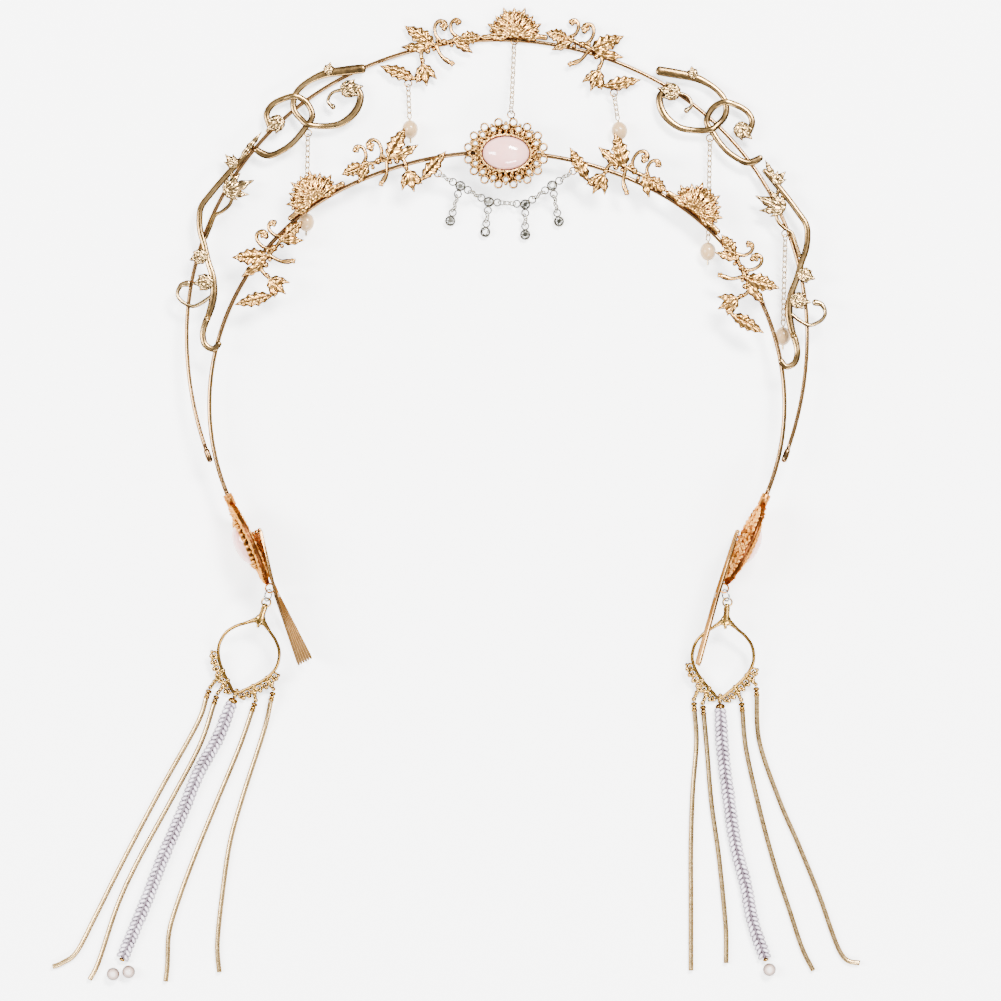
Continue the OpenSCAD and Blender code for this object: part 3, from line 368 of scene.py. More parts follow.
def spline(rows, n, closed=False):
    """Smooth curve through the rows, with n steps from each row to the next"""
    p = np.asarray(rows, float)
    m = len(p)
    out = []
    for i in range(m if closed else m - 1):
        a, b, c, d = (p[(i + k) % m] if closed else p[min(max(i + k, 0), m - 1)]
                      for k in (-1, 0, 1, 2))
        for k in range(n):
            t = k / n
            out.append(0.5 * (2 * b + (c - a) * t + (2 * a - 5 * b + 4 * c - d) * t * t
                              + (3 * b - a - 3 * c + d) * t ** 3))
    if not closed:
        out.append(p[-1])
    return np.array(out)


def quads(rows, n, closed=False):
    """Faces between neighbours of as many rings as rows says, with n points each"""
    return [(i * n + k, i * n + (k + 1) % n, j * n + (k + 1) % n, j * n + k)
            for i, j in ((i, (i + 1) % rows) for i in range(rows if closed else rows - 1))
            for k in range(n)]


def tube(shape, points, half_w, half_h=None, sides=12, closed=False, matrix=None, tone=0.0,
         rounded=True):
    """Swept wire. Points are rows x, y, z; half_w lies across the plane, half_h above it."""
    p = np.asarray(points, float)
    w = for_each(half_w, len(p))
    h = w if half_h is None else for_each(half_h, len(p))
    t = for_each(tone, len(p))
    if rounded and not closed:
        turn = np.radians([82, 60, 35, 12])
        for _ in range(2):
            r = (w[0] + h[0]) / 2
            away = np.linalg.norm(p - p[0], axis=1)
            keep = (away > r) | (np.arange(len(p)) > len(p) // 2)
            d = unit(p[min(2, len(p) - 1)] - p[0])
            cap = p[0] + np.outer(r * (1 - np.sin(turn)), d)
            p = np.concatenate([cap, p[keep]])
            w = np.concatenate([w[0] * np.cos(turn), w[keep]])
            h = np.concatenate([h[0] * np.cos(turn), h[keep]])
            t = np.concatenate([np.full(4, t[0]), t[keep]])
            p, w, h, t = p[::-1], w[::-1], h[::-1], t[::-1]
    n = len(p)
    ahead = np.roll(p, -1, axis=0) - np.roll(p, 1, axis=0)
    if not closed:
        ahead[0], ahead[-1] = p[1] - p[0], p[-1] - p[-2]
    ahead /= np.linalg.norm(ahead, axis=1)[:, None]
    across = np.stack([-ahead[:, 1], ahead[:, 0], np.zeros(n)], axis=1)
    across /= np.maximum(np.linalg.norm(across, axis=1), 1e-9)[:, None]
    up = np.cross(ahead, across)
    turn = np.arange(sides) * 2 * math.pi / sides
    verts = (p[:, None, :] + (w[:, None] * np.cos(turn))[:, :, None] * across[:, None, :]
             + (h[:, None] * np.sin(turn))[:, :, None] * up[:, None, :]).reshape(-1, 3)
    faces = [(b, c, d, a) for a, b, c, d in quads(n, sides, closed)]
    if not closed:
        faces.append(tuple(reversed(range(sides))))
        faces.append(tuple(range((n - 1) * sides, n * sides)))
    shape.add(verts, faces, np.repeat(t, sides), matrix)


def ball(shape, centre, radii, segments, rings, matrix=None, tone=0.0, turn=0.0):
    a = np.arange(segments) * 2 * math.pi / segments
    b = np.arange(1, rings) * math.pi / rings
    ring = np.stack([np.outer(np.sin(b), np.cos(a)), np.outer(np.sin(b), np.sin(a)),
                     np.repeat(np.cos(b)[:, None], segments, axis=1)], axis=2).reshape(-1, 3)
    verts = np.concatenate([[[0, 0, 1]], ring, [[0, 0, -1]]]) * np.asarray(radii, float)
    c, s = math.cos(turn), math.sin(turn)
    verts = verts @ np.array([[c, s, 0], [-s, c, 0], [0, 0, 1]]) + np.asarray(centre, float)
    last = len(verts) - 1
    faces = [(0, 1 + k, 1 + (k + 1) % segments) for k in range(segments)]
    faces += [(1 + a, 1 + d, 1 + c, 1 + b) for a, b, c, d in quads(rings - 1, segments)]
    p = 1 + (rings - 2) * segments
    faces += [(p + k, last, p + (k + 1) % segments) for k in range(segments)]
    shape.add(verts, faces, tone, matrix)


def circle(r, n):
    a = np.arange(n) * 2 * math.pi / n
    return np.stack([r * np.cos(a), r * np.sin(a), np.zeros(n)], axis=1)


# Reliefs: a height over a plane, with a smooth outline, a flat back, painted shade and patina in the
# recesses, and painted shade on the back

GAP = 0.12
LINK_R = (2.2 - 0.3) / 2
EYE_BAR = 0.35
EYE_R = LINK_R + EYE_BAR / 2
SHADE_REACH, SHADE_GAIN, BACK_PAINTED_SHADE = 0.55, 2.6, 0.6
EDGE_SHARE = 0.82
LEAF_GROOVE, LEAF_VEINS = 0.45, 0.28
# Which part of a cell is inside. A key adds up 1, 2, 4 and 8 for the corners 0 to 3 that are
# inside, and the points 4 to 7 are where the outline crosses the cell's sides.
CELL_CUTS = {
    1: (0, 4, 7), 2: (1, 5, 4), 3: (0, 1, 5, 7), 4: (2, 6, 5),
    5: (0, 4, 5, 2, 6, 7), 6: (1, 2, 6, 4), 7: (0, 1, 2, 6, 7), 8: (3, 7, 6),
    9: (0, 4, 6, 3), 10: (1, 5, 6, 3, 7, 4), 11: (0, 1, 5, 6, 3), 12: (2, 3, 7, 5),
    13: (0, 4, 5, 2, 3), 14: (1, 2, 3, 7, 4), 15: (0, 1, 2, 3)}


class Relief:
    """Heights on a grid of cells. Inside is each point's distance within the outline."""

    def __init__(self, lo, hi, cell):
        self.cell = cell
        xs = np.arange(lo[0], hi[0] + cell, cell)
        ys = np.arange(lo[1], hi[1] + cell, cell)
        self.x, self.y = np.meshgrid(xs, ys, indexing="ij")
        self.inside = np.full(self.x.shape, -9.0)
        self.height = np.zeros(self.x.shape)

    def add(self, inside, height):
        take = (inside > 0) & (height > self.height)
        self.height[take] = height[take]
        self.inside = np.maximum(self.inside, inside)

    def cut(self, inside):
        self.inside = np.minimum(self.inside, inside)

    def leaf(self, base, tip, w, rise, foot, lobes):
        """Ribbed leaf with a midrib groove, and veins that run outwards to its lobes"""
        base, tip = np.asarray(base, float), np.asarray(tip, float)
        l = np.linalg.norm(tip - base)
        d = (tip - base) / l
        dx, dy = self.x - base[0], self.y - base[1]
        u = (dx * d[0] + dy * d[1]) / l
        v = -dx * d[1] + dy * d[0]
        c = np.clip(u, 0.001, 0.999)
        edge = w / 2 * np.sin(math.pi * c ** 0.8)
        flow = c - 0.10 * np.abs(v) / (w / 2)
        edge = edge * (0.90 + 0.14 * np.cos(2 * math.pi * lobes * c + 0.6))
        inside = np.minimum(edge - np.abs(v), np.minimum(u * l, (1 - u) * l))
        t = np.clip(np.abs(v) / np.maximum(edge, 0.05), 0, 1)
        body = rise * (0.35 + 0.65 * arch(t)) * (0.72 + 0.28 * np.sin(math.pi * c ** 0.7))
        body -= rise * LEAF_GROOVE * np.exp(-(t / 0.16) ** 2) * (1 - c * 0.5)
        veins = 0.5 + 0.5 * np.cos(2 * math.pi * lobes * flow + 0.6 - 1.6 * t)
        body -= rise * LEAF_VEINS * (1 - veins) * np.clip(t * 2.2, 0, 1)
        self.add(inside, foot + np.clip(body, 0.05, None))

    def stem(self, rows, rise, foot):
        """Half round wire through the rows, each of which is x, y and a half width"""
        p = spline(rows, 8)
        best = np.full(self.x.shape, -9.0)
        height = np.zeros(self.x.shape)
        for a, b in zip(p[:-1], p[1:]):
            d = b[:2] - a[:2]
            t = np.clip(((self.x - a[0]) * d[0] + (self.y - a[1]) * d[1])
                        / max(d @ d, 1e-9), 0, 1)
            r = a[2] + t * (b[2] - a[2])
            away = np.hypot(self.x - a[0] - t * d[0], self.y - a[1] - t * d[1])
            inside = r - away
            top = arch(away / r) * rise
            take = inside > best
            best[take] = inside[take]
            height[take] = top[take]
        self.add(best, foot + height)

    def bead(self, at, r, rise, foot, pit=0.0):
        away = np.hypot(self.x - at[0], self.y - at[1])
        top = rise * arch(away / r) - pit * np.exp(-(away / (0.42 * r)) ** 2)
        self.add(r - away, foot + np.clip(top, 0.02, None))

    def loop(self, at, r, half, rise, foot):
        away = np.abs(np.hypot(self.x - at[0], self.y - at[1]) - r)
        self.add(half - away, foot + rise * arch(away / half))

    def eye(self, at):
        self.loop(at, EYE_R - EYE_BAR / 2, EYE_BAR / 2, 0.15, 0.2)

    def oval(self, a, b):
        """Distance outside an oval of half sizes a and b, near its outline"""
        rho = np.maximum(np.hypot(self.x / a, self.y / b), 1e-6)
        slope = np.maximum(np.hypot(self.x / a ** 2, self.y / b ** 2), 1e-6)
        return rho * (rho - 1) / slope

    def mesh(self, shape, matrix, shade=1.0):
        """Adds the relief to a shape. Where a point lies lower than the mean of what is round it, or
        low over the plane, its tone gets painted shade and patina; the outline and the back get
        painted shade.
        """
        inside, h = self.inside, self.height
        on = inside > 0
        spread = np.zeros(h.shape)
        weight = np.zeros(h.shape)
        reach = int(SHADE_REACH / self.cell)
        for i in range(-reach, reach + 1):
            for j in range(-reach, reach + 1):
                if i * i + j * j <= reach * reach:
                    shifted = np.roll(np.roll(on, i, 0), j, 1)
                    spread += np.where(shifted, np.roll(np.roll(h, i, 0), j, 1), 0)
                    weight += shifted
        mean = spread / np.maximum(weight, 1)
        # painted shade and patina: darker in recesses and on low ground
        patina_and_painted_light = np.clip((mean - h) * SHADE_GAIN * shade + 0.08, 0, 1)
        patina_and_painted_light = np.clip(patina_and_painted_light + 0.25 * np.clip(1 - h / 0.8, 0, 1) * shade, 0, 1)
        index = {}
        verts, tones = [], []

        def put(key, x, y, z, tone):
            if key not in index:
                index[key] = len(verts)
                verts.append((x, y, z))
                tones.append(tone)
            return index[key]

        def point(i, j, c):
            if c < 4:
                i, j = i + (c in (1, 2)), j + (c in (2, 3))
                return put((i, j, 0), self.x[i, j], self.y[i, j], h[i, j], patina_and_painted_light[i, j])
            i, j = i + (c == 5), j + (c == 6)
            k, m = (i, j + 1) if c % 2 else (i + 1, j)
            a, b = inside[i, j], inside[k, m]
            t = min(max(a / (a - b), 0.08), 0.92)
            src = (i, j) if a > 0 else (k, m)
            # outline points get more painted shade than the cell they come from
            return put((i, j, 1 + c % 2), self.x[i, j] + t * (self.x[k, m] - self.x[i, j]),
                       self.y[i, j] + t * (self.y[k, m] - self.y[i, j]), h[src] * EDGE_SHARE,
                       min(1.0, patina_and_painted_light[src] + 0.15))

        code = (on[:-1, :-1] * 1 + on[1:, :-1] * 2 + on[1:, 1:] * 4 + on[:-1, 1:] * 8)
        tops, walls = [], []
        for i, j in zip(*np.nonzero(code)):
            cut = CELL_CUTS[int(code[i, j])]
            ids = [point(i, j, c) for c in cut]
            tops.append(tuple(ids))
            walls += [(ids[k - 1], ids[k]) for k in range(len(cut)) if cut[k - 1] > 3 and cut[k] > 3]
        n = len(verts)
        low = [(x, y, 0.0) for x, y, _ in verts]
        faces = tops + [tuple(i + n for i in reversed(f)) for f in tops]
        faces += [(q, p, p + n, q + n) for p, q in walls]
        shape.add(verts + low, faces, np.concatenate([tones, np.full(n, BACK_PAINTED_SHADE)]), matrix)


# The bands, as the solids have them

Band = namedtuple("Band", "half wide_y crest_r sweep side_r end")


def shoulder_r(b):
    return (b.half - b.crest_r * sind(b.sweep)) / (1 - sind(b.sweep))


def crest(b):
    return b.wide_y + (shoulder_r(b) - b.crest_r) * cosd(b.sweep) + b.crest_r


def band_point(b, a):
    """Point of the right half of a band, where its normal is a degrees from straight up"""
    if a < b.sweep:
        return b.crest_r * sind(a), crest(b) - b.crest_r * (1 - cosd(a))
    r = shoulder_r(b) if a <= 90 else b.side_r
    return b.half - r * (1 - sind(a)), b.wide_y + r * cosd(a)


def beside_band(b, a, move):
    p, m = band_point(b, a), turned(move, -a)
    return p[0] + m[0], p[1] + m[1]


def in_room(plane, p, h):
    """Place in the room of a point at height h over a band's plane"""
    y, z, tilt = plane
    c, s = cosd(tilt), sind(tilt)
    return np.array([p[0], y + (p[1] - y) * c + h * s, z - (p[1] - y) * s + h * c])


def plane_matrix(plane):
    y, z, tilt = plane
    return translation(0, y, z) @ rotation(-tilt, "X") @ translation(0, -y, 0)


def band_plane(b, y, z, crest_z):
    """The y, z and tilt of the plane in which a band runs from y, z down to its crest"""
    return y, z, math.degrees(math.asin((z - crest_z) / (crest(b) - y)))


L, R = -1, 1
LETTER = {L: "l", R: "r"}
SIDE = {L: Matrix.Scale(-1, 4, (1, 0, 0)), R: Matrix.Identity(4)}
FRONT_WIRE, CROWN_WIRE = 1.2, 1.1
SLEEVE = CROWN_WIRE + 0.5
PLATE_L, PLATE_W, PLATE_T = 24.5, 17.5, 0.9
FRONT_END, CROWN_END, SWEEP = 114.5, 104, 27
FRONT_HALF, FRONT_CREST_Z = 77.2, 6
CROWN_HALF, CROWN_WIDE_Y = 83.4, 19
FRONT = Band(FRONT_HALF, 0, 1.19 * FRONT_HALF, SWEEP, 0.81 * FRONT_HALF, FRONT_END)
JOIN = band_point(FRONT, FRONT_END)
JOIN_Z = PLATE_W / 2
CROWN_STOP = beside_band(FRONT, CROWN_END, (0, (FRONT_WIRE + SLEEVE) / 2 + GAP))
CROWN_FALL = CROWN_WIDE_Y - CROWN_STOP[1]
CROWN_SWEEP = 2 * math.degrees(math.atan((CROWN_HALF - CROWN_STOP[0]) / CROWN_FALL))
CROWN = Band(CROWN_HALF, CROWN_WIDE_Y, 1.068 * CROWN_HALF, SWEEP,
             CROWN_FALL / sind(CROWN_SWEEP), 90 + CROWN_SWEEP)
FRONT_PLANE = band_plane(FRONT, JOIN[1], JOIN_Z, FRONT_CREST_Z)
CROWN_JOIN_Z = in_room(FRONT_PLANE, CROWN_STOP, 0)[2]
CROWN_PLANE = band_plane(CROWN, CROWN_STOP[1], CROWN_JOIN_Z, CROWN_WIRE / 2)
FRONT_SEAT_Z = FRONT_WIRE / 2 + GAP
CROWN_SEAT_Z = CROWN_WIRE / 2 + GAP


def seat_matrix(plane, b, seat_z, side, seat):
    """Frame of a casting. A seat is the band's angle, a move, a turn, and -1 if mirrored."""
    angle, x, y, turn, hand = seat
    at = beside_band(b, angle, (x, y))
    m = plane_matrix(plane) @ SIDE[side] @ translation(*at, seat_z) @ rotation(turn - angle, "Z")
    return m @ SIDE[L] if hand < 0 else m


def front_seat(side, seat):
    return seat_matrix(FRONT_PLANE, FRONT, FRONT_SEAT_Z, side, seat)


def crown_seat(side, seat):
    return seat_matrix(CROWN_PLANE, CROWN, CROWN_SEAT_Z, side, seat)


def wire_point(b, a):
    x, y = band_point(b, abs(a))
    return math.copysign(x, a), y, 0


def band_piece(name, b, plane, wire, end_wire, node):
    """A band's wire, and a toned or thicker stretch over its last two degrees at each end"""
    last = b.end - 2
    m = plane_matrix(plane)
    shape = Shape()
    tube(shape, [wire_point(b, a) for a in np.linspace(-last, last, 181)], wire / 2, sides=16,
         matrix=m, tone=0.15, rounded=False)
    for side in (L, R):
        rows = [wire_point(b, side * a) for a in np.linspace(last - 0.4, b.end, 6)]
        tube(shape, rows, end_wire / 2, sides=16, matrix=m, tone=0.3, rounded=end_wire > wire)
    piece(name, shape, BAND, [node])


band_piece("front_band_wire", FRONT, FRONT_PLANE, FRONT_WIRE, FRONT_WIRE, "front_band")
band_piece("crown_band_wire", CROWN, CROWN_PLANE, CROWN_WIRE, SLEEVE, "crown_band")

# Cast leaf sprays and fans

SPRAY_L = 29
STEM_R = 0.5
CELL = 0.17
# All places are shares of the length. Leaves have a base, a tip and a width, stems have a width
# at each point, and beads and curls have a radius in millimetres.
SPRAY_LEAVES = [
    (0.22, 0.05, 0.00, 0.00, 0.13), (0.27, 0.05, 0.13, -0.12, 0.09),
    (0.45, 0.05, 0.67, 0.31, 0.16), (0.52, 0.05, 0.76, 0.13, 0.10),
    (0.61, -0.08, 0.52, -0.26, 0.08), (0.61, -0.08, 0.63, -0.30, 0.09),
    (0.61, -0.08, 0.72, -0.24, 0.08), (0.72, -0.19, 1.00, 0.02, 0.13)]
SPRAY_STEMS = [
    [(0.10, 0.03, 1), (0.22, 0.05, 1), (0.36, 0.05, 1), (0.50, 0.06, 1.1), (0.59, 0.02, 1),
     (0.61, -0.10, 1), (0.66, -0.19, 1), (0.76, -0.18, 1)],
    [(0.21, 0.05, 1), (0.26, 0.12, 0.9), (0.25, 0.20, 0.9), (0.20, 0.23, 1), (0.17, 0.20, 1.3)],
    [(0.36, 0.04, 1), (0.41, 0.13, 0.9), (0.40, 0.22, 0.9), (0.35, 0.26, 1), (0.30, 0.23, 1.2),
     (0.32, 0.18, 1.4)],
    [(0.44, 0.05, 1), (0.42, -0.06, 0.9), (0.38, -0.12, 1.3), (0.34, -0.16, 0.8)]]
SPRAY_BEADS = [(0.36, 0.06, 0.85), (0.30, 0.01, 0.6), (0.53, 0.02, 0.8), (0.60, -0.05, 0.7),
               (0.47, 0.02, 0.55), (0.68, -0.21, 0.75), (0.25, 0.06, 0.7), (0.42, 0.09, 0.5)]
SPRAY_CURLS = [(0.185, 0.205, 0.95), (0.318, 0.205, 1.15), (0.345, -0.155, 0.75)]


def cast_piece(label, shape, material):
    piece(label + "_cast", shape, material, [label])


def eye_below(x, y, l):
    """Middle of an eye that hangs from the point x, y, given as shares of l"""
    return x * l, y * l - EYE_R


def spray_relief(eyes):
    r = Relief((-1.2, -10), (SPRAY_L + 1.6, 10.4), CELL)
    for rows in SPRAY_STEMS:
        r.stem(scaled(rows, SPRAY_L, STEM_R * 1.1), 0.55, 0.3)
    for x, y, tip_x, tip_y, w in SPRAY_LEAVES:
        base, tip = scaled([(x, y), (tip_x, tip_y)], SPRAY_L)
        rise, lobes = (1.05, 5) if w > 0.1 else (0.85, 3)
        r.leaf(base, tip, w * SPRAY_L * 1.06, rise, 0.4, lobes)
    for x, y, size in scaled(SPRAY_BEADS, SPRAY_L):
        r.bead((x, y), size, size * 0.9, 0.55)
    for x, y, size in scaled(SPRAY_CURLS, SPRAY_L):
        ring = 0.62 * size
        for a in (20, 110, 200, 290):
            r.bead((x + ring * cosd(a), y + ring * sind(a)), 0.5 * size, 0.5, 0.5)
        r.bead((x, y), 0.55 * size, 0.3, 0.55, pit=0.5)
    for e in eyes:
        r.eye(e)
    return r


SPRAY_SEATS = {
    "front_leaf_spray": (front_seat, [(27, -1.6, 3.4, 15.2, -1), (31.2, -0.8, 1.2, 7.6, -1)]),
    "side_leaf_spray": (front_seat, [(36, 3.4, -1.7, -16, 1), (46.6, -0.2, 1.3, -21.2, 1)]),
    "crown_leaf_spray": (crown_seat, [(2.5, -0.1, 0.7, -14.2, 1), (8.4, -0.5, 2.8, -19.1, 1)])}
SWAG_EYE = eye_below(0.88, -0.13, SPRAY_L)
DROP_EYES = {L: eye_below(0.79, -0.178, SPRAY_L), R: eye_below(0.83, -0.168, SPRAY_L)}
for name, (seat, rows) in SPRAY_SEATS.items():
    for side, row in zip((L, R), rows):
        eyes = {"front_leaf_spray": [SWAG_EYE], "crown_leaf_spray": [DROP_EYES[side]]}
        shape = Shape()
        spray_relief(eyes.get(name, [])).mesh(shape, seat(side, row))
        cast_piece(f"{name}_{LETTER[side]}", shape, CAST)

FAN_W, FAN_H = 17.4, 8.8
PETALS_APART = 21.5


def fan_relief(eyes):
    r = Relief((-9.6, -2.6), (9.6, 9.8), CELL)

    def spoke(a, share):
        return on_oval(share * (FAN_W / 2 - STEM_R), share * FAN_H, a)

    for k in range(9):
        a = 4 + PETALS_APART * k
        reach = 0.93 if k % 2 == 0 else 1.0
        r.leaf(spoke(a, 0.2), spoke(a, reach), FAN_W * (0.21 if k == 4 else 0.18), 1.05, 0.35, 3)
    for k in range(8):
        a = 14.7 + PETALS_APART * k
        r.leaf(spoke(a, 0.15), spoke(a, 0.66), FAN_W * 0.10, 1.0, 0.55, 2)
        r.bead(spoke(a, 0.80), 0.5, 0.55, 0.4)
    for a in range(18, 180, 36):
        r.bead(spoke(a, 0.26), 0.85, 0.8, 0.7, pit=0.35)
    r.bead((0, 1.0), 1.1, 0.7, 0.75, pit=0.4)
    r.stem([(FAN_W * 0.48 * k / 6, STEM_R * (1 - (k / 6) ** 2), STEM_R * 1.5)
            for k in range(-6, 7)], 0.6, 0.45)
    for e in eyes:
        r.eye(e)
    return r


FAN_SEATS = {"front_fan_l": (front_seat(L, (33.6, 0, 0.6, 0, 1)), []),
             "front_fan_r": (front_seat(R, (38.1, 0, 0.6, 0, 1)), []),
             "crown_fan": (crown_seat(R, (3, 0, 0.6, 3, 1)), [(0, EYE_BAR / 2 - EYE_R)])}
for label, (matrix, eyes) in FAN_SEATS.items():
    shape = Shape()
    fan_relief(eyes).mesh(shape, matrix)
    cast_piece(label, shape, CAST)

# Interlocked rings at the shoulders and leaf scrolls at the sides

RIBBON_W, RIBBON_T = 1.7, 0.9


def ribbon(shape, rows, l, matrix, lifts=(), z=0.0):
    """Tapered ribbon through rows x, y, width; lifts are x, y, rise of places to pass over"""
    p = spline(scaled(rows, l, RIBBON_W / 2), 8)
    height = np.full(len(p), z + RIBBON_T / 2)
    for x, y, rise in scaled(lifts, l):
        height += rise * np.exp(-(np.hypot(p[:, 0] - x, p[:, 1] - y) / 2.2) ** 2)
    # painted shade in bands along the ribbon, for folds it doesn't have
    painted_fold_shade = 0.5 + 0.5 * np.cos(np.linspace(0, 14, len(p)))
    tube(shape, np.column_stack([p[:, :2], height]), p[:, 2], RIBBON_T / 2, sides=14,
         matrix=matrix, tone=0.10 + 0.25 * painted_fold_shade)


def calyx(r, x, y, tip_x, tip_y, w, l, rise=0.95):
    """Five leaves round a bead, the middle one with its tip at tip_x, tip_y"""
    base = np.array([x, y]) * l
    ahead = np.array([tip_x - x, tip_y - y]) * l
    for a, share in ((-58, 0.5), (-30, 0.78), (30, 0.78), (58, 0.5), (0, 1.0)):
        tip = base + share * np.array(turned(ahead, a))
        r.leaf(base - 0.1 * ahead, tip, share * w * l * 1.3, rise, 0.55, 3)
    r.bead(base, 0.75, 0.7, 0.7, pit=0.2)


OPEN_RING = [
    (-0.48, -0.07, 1.5), (-0.34, 0.01, 1.5), (-0.21, 0.075, 1.3), (-0.08, 0.10, 1),
    (0.02, 0.09, 1), (0.09, 0.045, 1), (0.125, -0.02, 1), (0.12, -0.10, 1), (0.105, -0.155, 1),
    (0.02, -0.23, 1), (-0.08, -0.285, 1.1), (-0.19, -0.29, 1.2), (-0.275, -0.26, 1.2),
    (-0.335, -0.20, 1.1), (-0.33, -0.13, 0.9), (-0.26, -0.10, 0.7)]
CLOSED_RING = [
    (0.34, -0.01, 0.9), (0.305, 0.08, 1), (0.24, 0.115, 1), (0.16, 0.11, 1), (0.06, 0.07, 1),
    (0.02, 0, 1), (0.02, -0.07, 1), (0.04, -0.12, 1), (0.075, -0.145, 1), (0.13, -0.16, 1),
    (0.21, -0.185, 1), (0.31, -0.20, 1), (0.41, -0.19, 1), (0.465, -0.17, 1.1),
    (0.50, -0.125, 1.2), (0.52, -0.065, 0.9)]
RING_CALYXES = [(-0.25, -0.10, -0.39, -0.165, 0.07), (0.24, -0.01, 0.385, -0.015, 0.07),
                (-0.235, 0.065, -0.30, 0.12, 0.05)]
RING_TENDRIL = [(-0.27, -0.105, 1), (-0.18, -0.07, 0.9), (-0.115, -0.10, 0.9),
                (-0.12, -0.155, 1.2)]
RING_PAIR_L = 37
RING_SEATS = [(36.2, 0, 0, 0, 1), (42.6, -2.7, 3.2, 3.2, 1)]
RING_EYE = (0.14 * RING_PAIR_L, -0.16 * RING_PAIR_L - RIBBON_W / 2 + EYE_BAR - EYE_R)


def ring_pair(side, seat):
    matrix = crown_seat(side, seat)
    shape = Shape()
    ribbon(shape, OPEN_RING, RING_PAIR_L, matrix, [(0.095, -0.15, 0.5)])
    ribbon(shape, CLOSED_RING, RING_PAIR_L, matrix, [(0.07, 0.075, 0.5)])
    r = Relief((-19.5, -9.5), (19.8, 6.5), CELL)
    for row in RING_CALYXES:
        calyx(r, *row, RING_PAIR_L)
    r.stem(scaled(RING_TENDRIL, RING_PAIR_L, STEM_R), 0.5, 0.4)
    r.bead((-0.12 * RING_PAIR_L, -0.155 * RING_PAIR_L), 0.75, 0.7, 0.4)
    r.eye(RING_EYE)
    r.mesh(shape, matrix)
    cast_piece("ring_pair_" + LETTER[side], shape, RING)


LEAF_SCROLL_L = 53
SCROLL_SEATS = [(71.5, 0, -0.4, -0.8, 1), (75.6, 0, 1.2, 0, 1)]
HOOK_POINT = beside_band(CROWN, SCROLL_SEATS[0][0], (LEAF_SCROLL_L * 0.48, -LEAF_SCROLL_L * 0.20))
HOOK_RISE = (in_room(FRONT_PLANE, HOOK_POINT, FRONT_SEAT_Z)[2]
             - in_room(CROWN_PLANE, HOOK_POINT, CROWN_SEAT_Z)[2] + GAP)
SCROLL_STEM = [
    (-0.50, -0.075, 0.8), (-0.42, -0.035, 1), (-0.32, 0.01, 1), (-0.245, 0.04, 1),
    (-0.17, 0.065, 1), (-0.105, 0.055, 1), (-0.045, 0.03, 1), (0.015, -0.01, 1),
    (0.09, -0.055, 1), (0.155, -0.10, 1.1), (0.23, -0.13, 1.2), (0.30, -0.14, 1.2),
    (0.365, -0.14, 1)]
SCROLL_HOOK = [(0.365, -0.14, 1.1), (0.425, -0.14, 1), (0.465, -0.15, 1), (0.50, -0.175, 1),
               (0.505, -0.22, 1), (0.46, -0.24, 1)]
SCROLL_STRAND = [(-0.385, -0.025, 0.6), (-0.30, -0.06, 0.6), (-0.23, -0.07, 0.6),
                 (-0.18, -0.045, 0.6), (-0.145, -0.015, 0.6), (-0.08, -0.01, 0.6),
                 (-0.015, -0.005, 0.6)]
SCROLL_CURL = [(0.255, -0.12, 1), (0.30, -0.085, 1), (0.33, -0.045, 1), (0.32, 0.015, 1),
               (0.29, 0.045, 1), (0.245, 0.04, 1.3), (0.225, 0.01, 1.8)]
SCROLL_CALYXES = [(-0.28, -0.03, -0.38, -0.15, 0.045), (-0.42, -0.035, -0.46, 0.035, 0.03),
                  (0.06, -0.03, 0.11, 0.04, 0.05), (0.18, -0.10, 0.22, -0.01, 0.05)]
SCROLL_TIPS = {L: (-0.455, -0.045, -0.628, -0.11, 0.036), R: (-0.42, -0.03, -0.545, -0.054, 0.036)}
SCROLL_EYE = eye_below(-0.155, -0.027, LEAF_SCROLL_L)


def leaf_scroll(side, seat):
    """S of ribbon. Its hook rises over the front band, on a post that stands on the stem."""
    matrix = crown_seat(side, seat)
    shape = Shape()
    ribbon(shape, SCROLL_STEM, LEAF_SCROLL_L, matrix)
    ribbon(shape, SCROLL_STRAND, LEAF_SCROLL_L, matrix)
    ribbon(shape, SCROLL_HOOK, LEAF_SCROLL_L, matrix, z=HOOK_RISE)
    x, y, _ = scaled(SCROLL_HOOK, LEAF_SCROLL_L)[0]
    half = (HOOK_RISE + RIBBON_T) / 2
    ball(shape, (x, y, half), (RIBBON_W * 0.56, RIBBON_W * 0.56, half), 14, 10, matrix, 0.2)
    r = Relief((-36, -10), (20, 5), CELL)
    for row in SCROLL_CALYXES:
        calyx(r, *row, LEAF_SCROLL_L, 0.85)
    x, y, tip_x, tip_y, w = (q * LEAF_SCROLL_L for q in SCROLL_TIPS[side])
    r.leaf((x, y), (tip_x, tip_y), w, 0.95, 0.45, 4)
    r.stem(scaled(SCROLL_CURL, LEAF_SCROLL_L, STEM_R), 0.55, 0.35)
    if side == R:
        r.eye(SCROLL_EYE)
    r.mesh(shape, matrix)
    cast_piece("leaf_scroll_" + LETTER[side], shape, RING)


for build, seats in ((ring_pair, RING_SEATS), (leaf_scroll, SCROLL_SEATS)):
    for side, seat in zip((L, R), seats):
        build(side, seat)

# The centre jewel: filigree, and the pink cabochon in its bezel

STONE_L, STONE_W, STONE_H, FILIGREE_W = 12.6, 9.0, 3.4, 5.2
LOOP_R, LOOP_BAR, PETALS = 1.2, 0.45, 16
BEZEL_H, BEZEL_WALL, BEZEL_FLOOR = 1.7, 0.5, 0.5
GIRDLE = 0.12
JEWEL_SEAT = (1.5, 0, -0.4, 1.5, 1)
INNER_LOOPS = 1.45


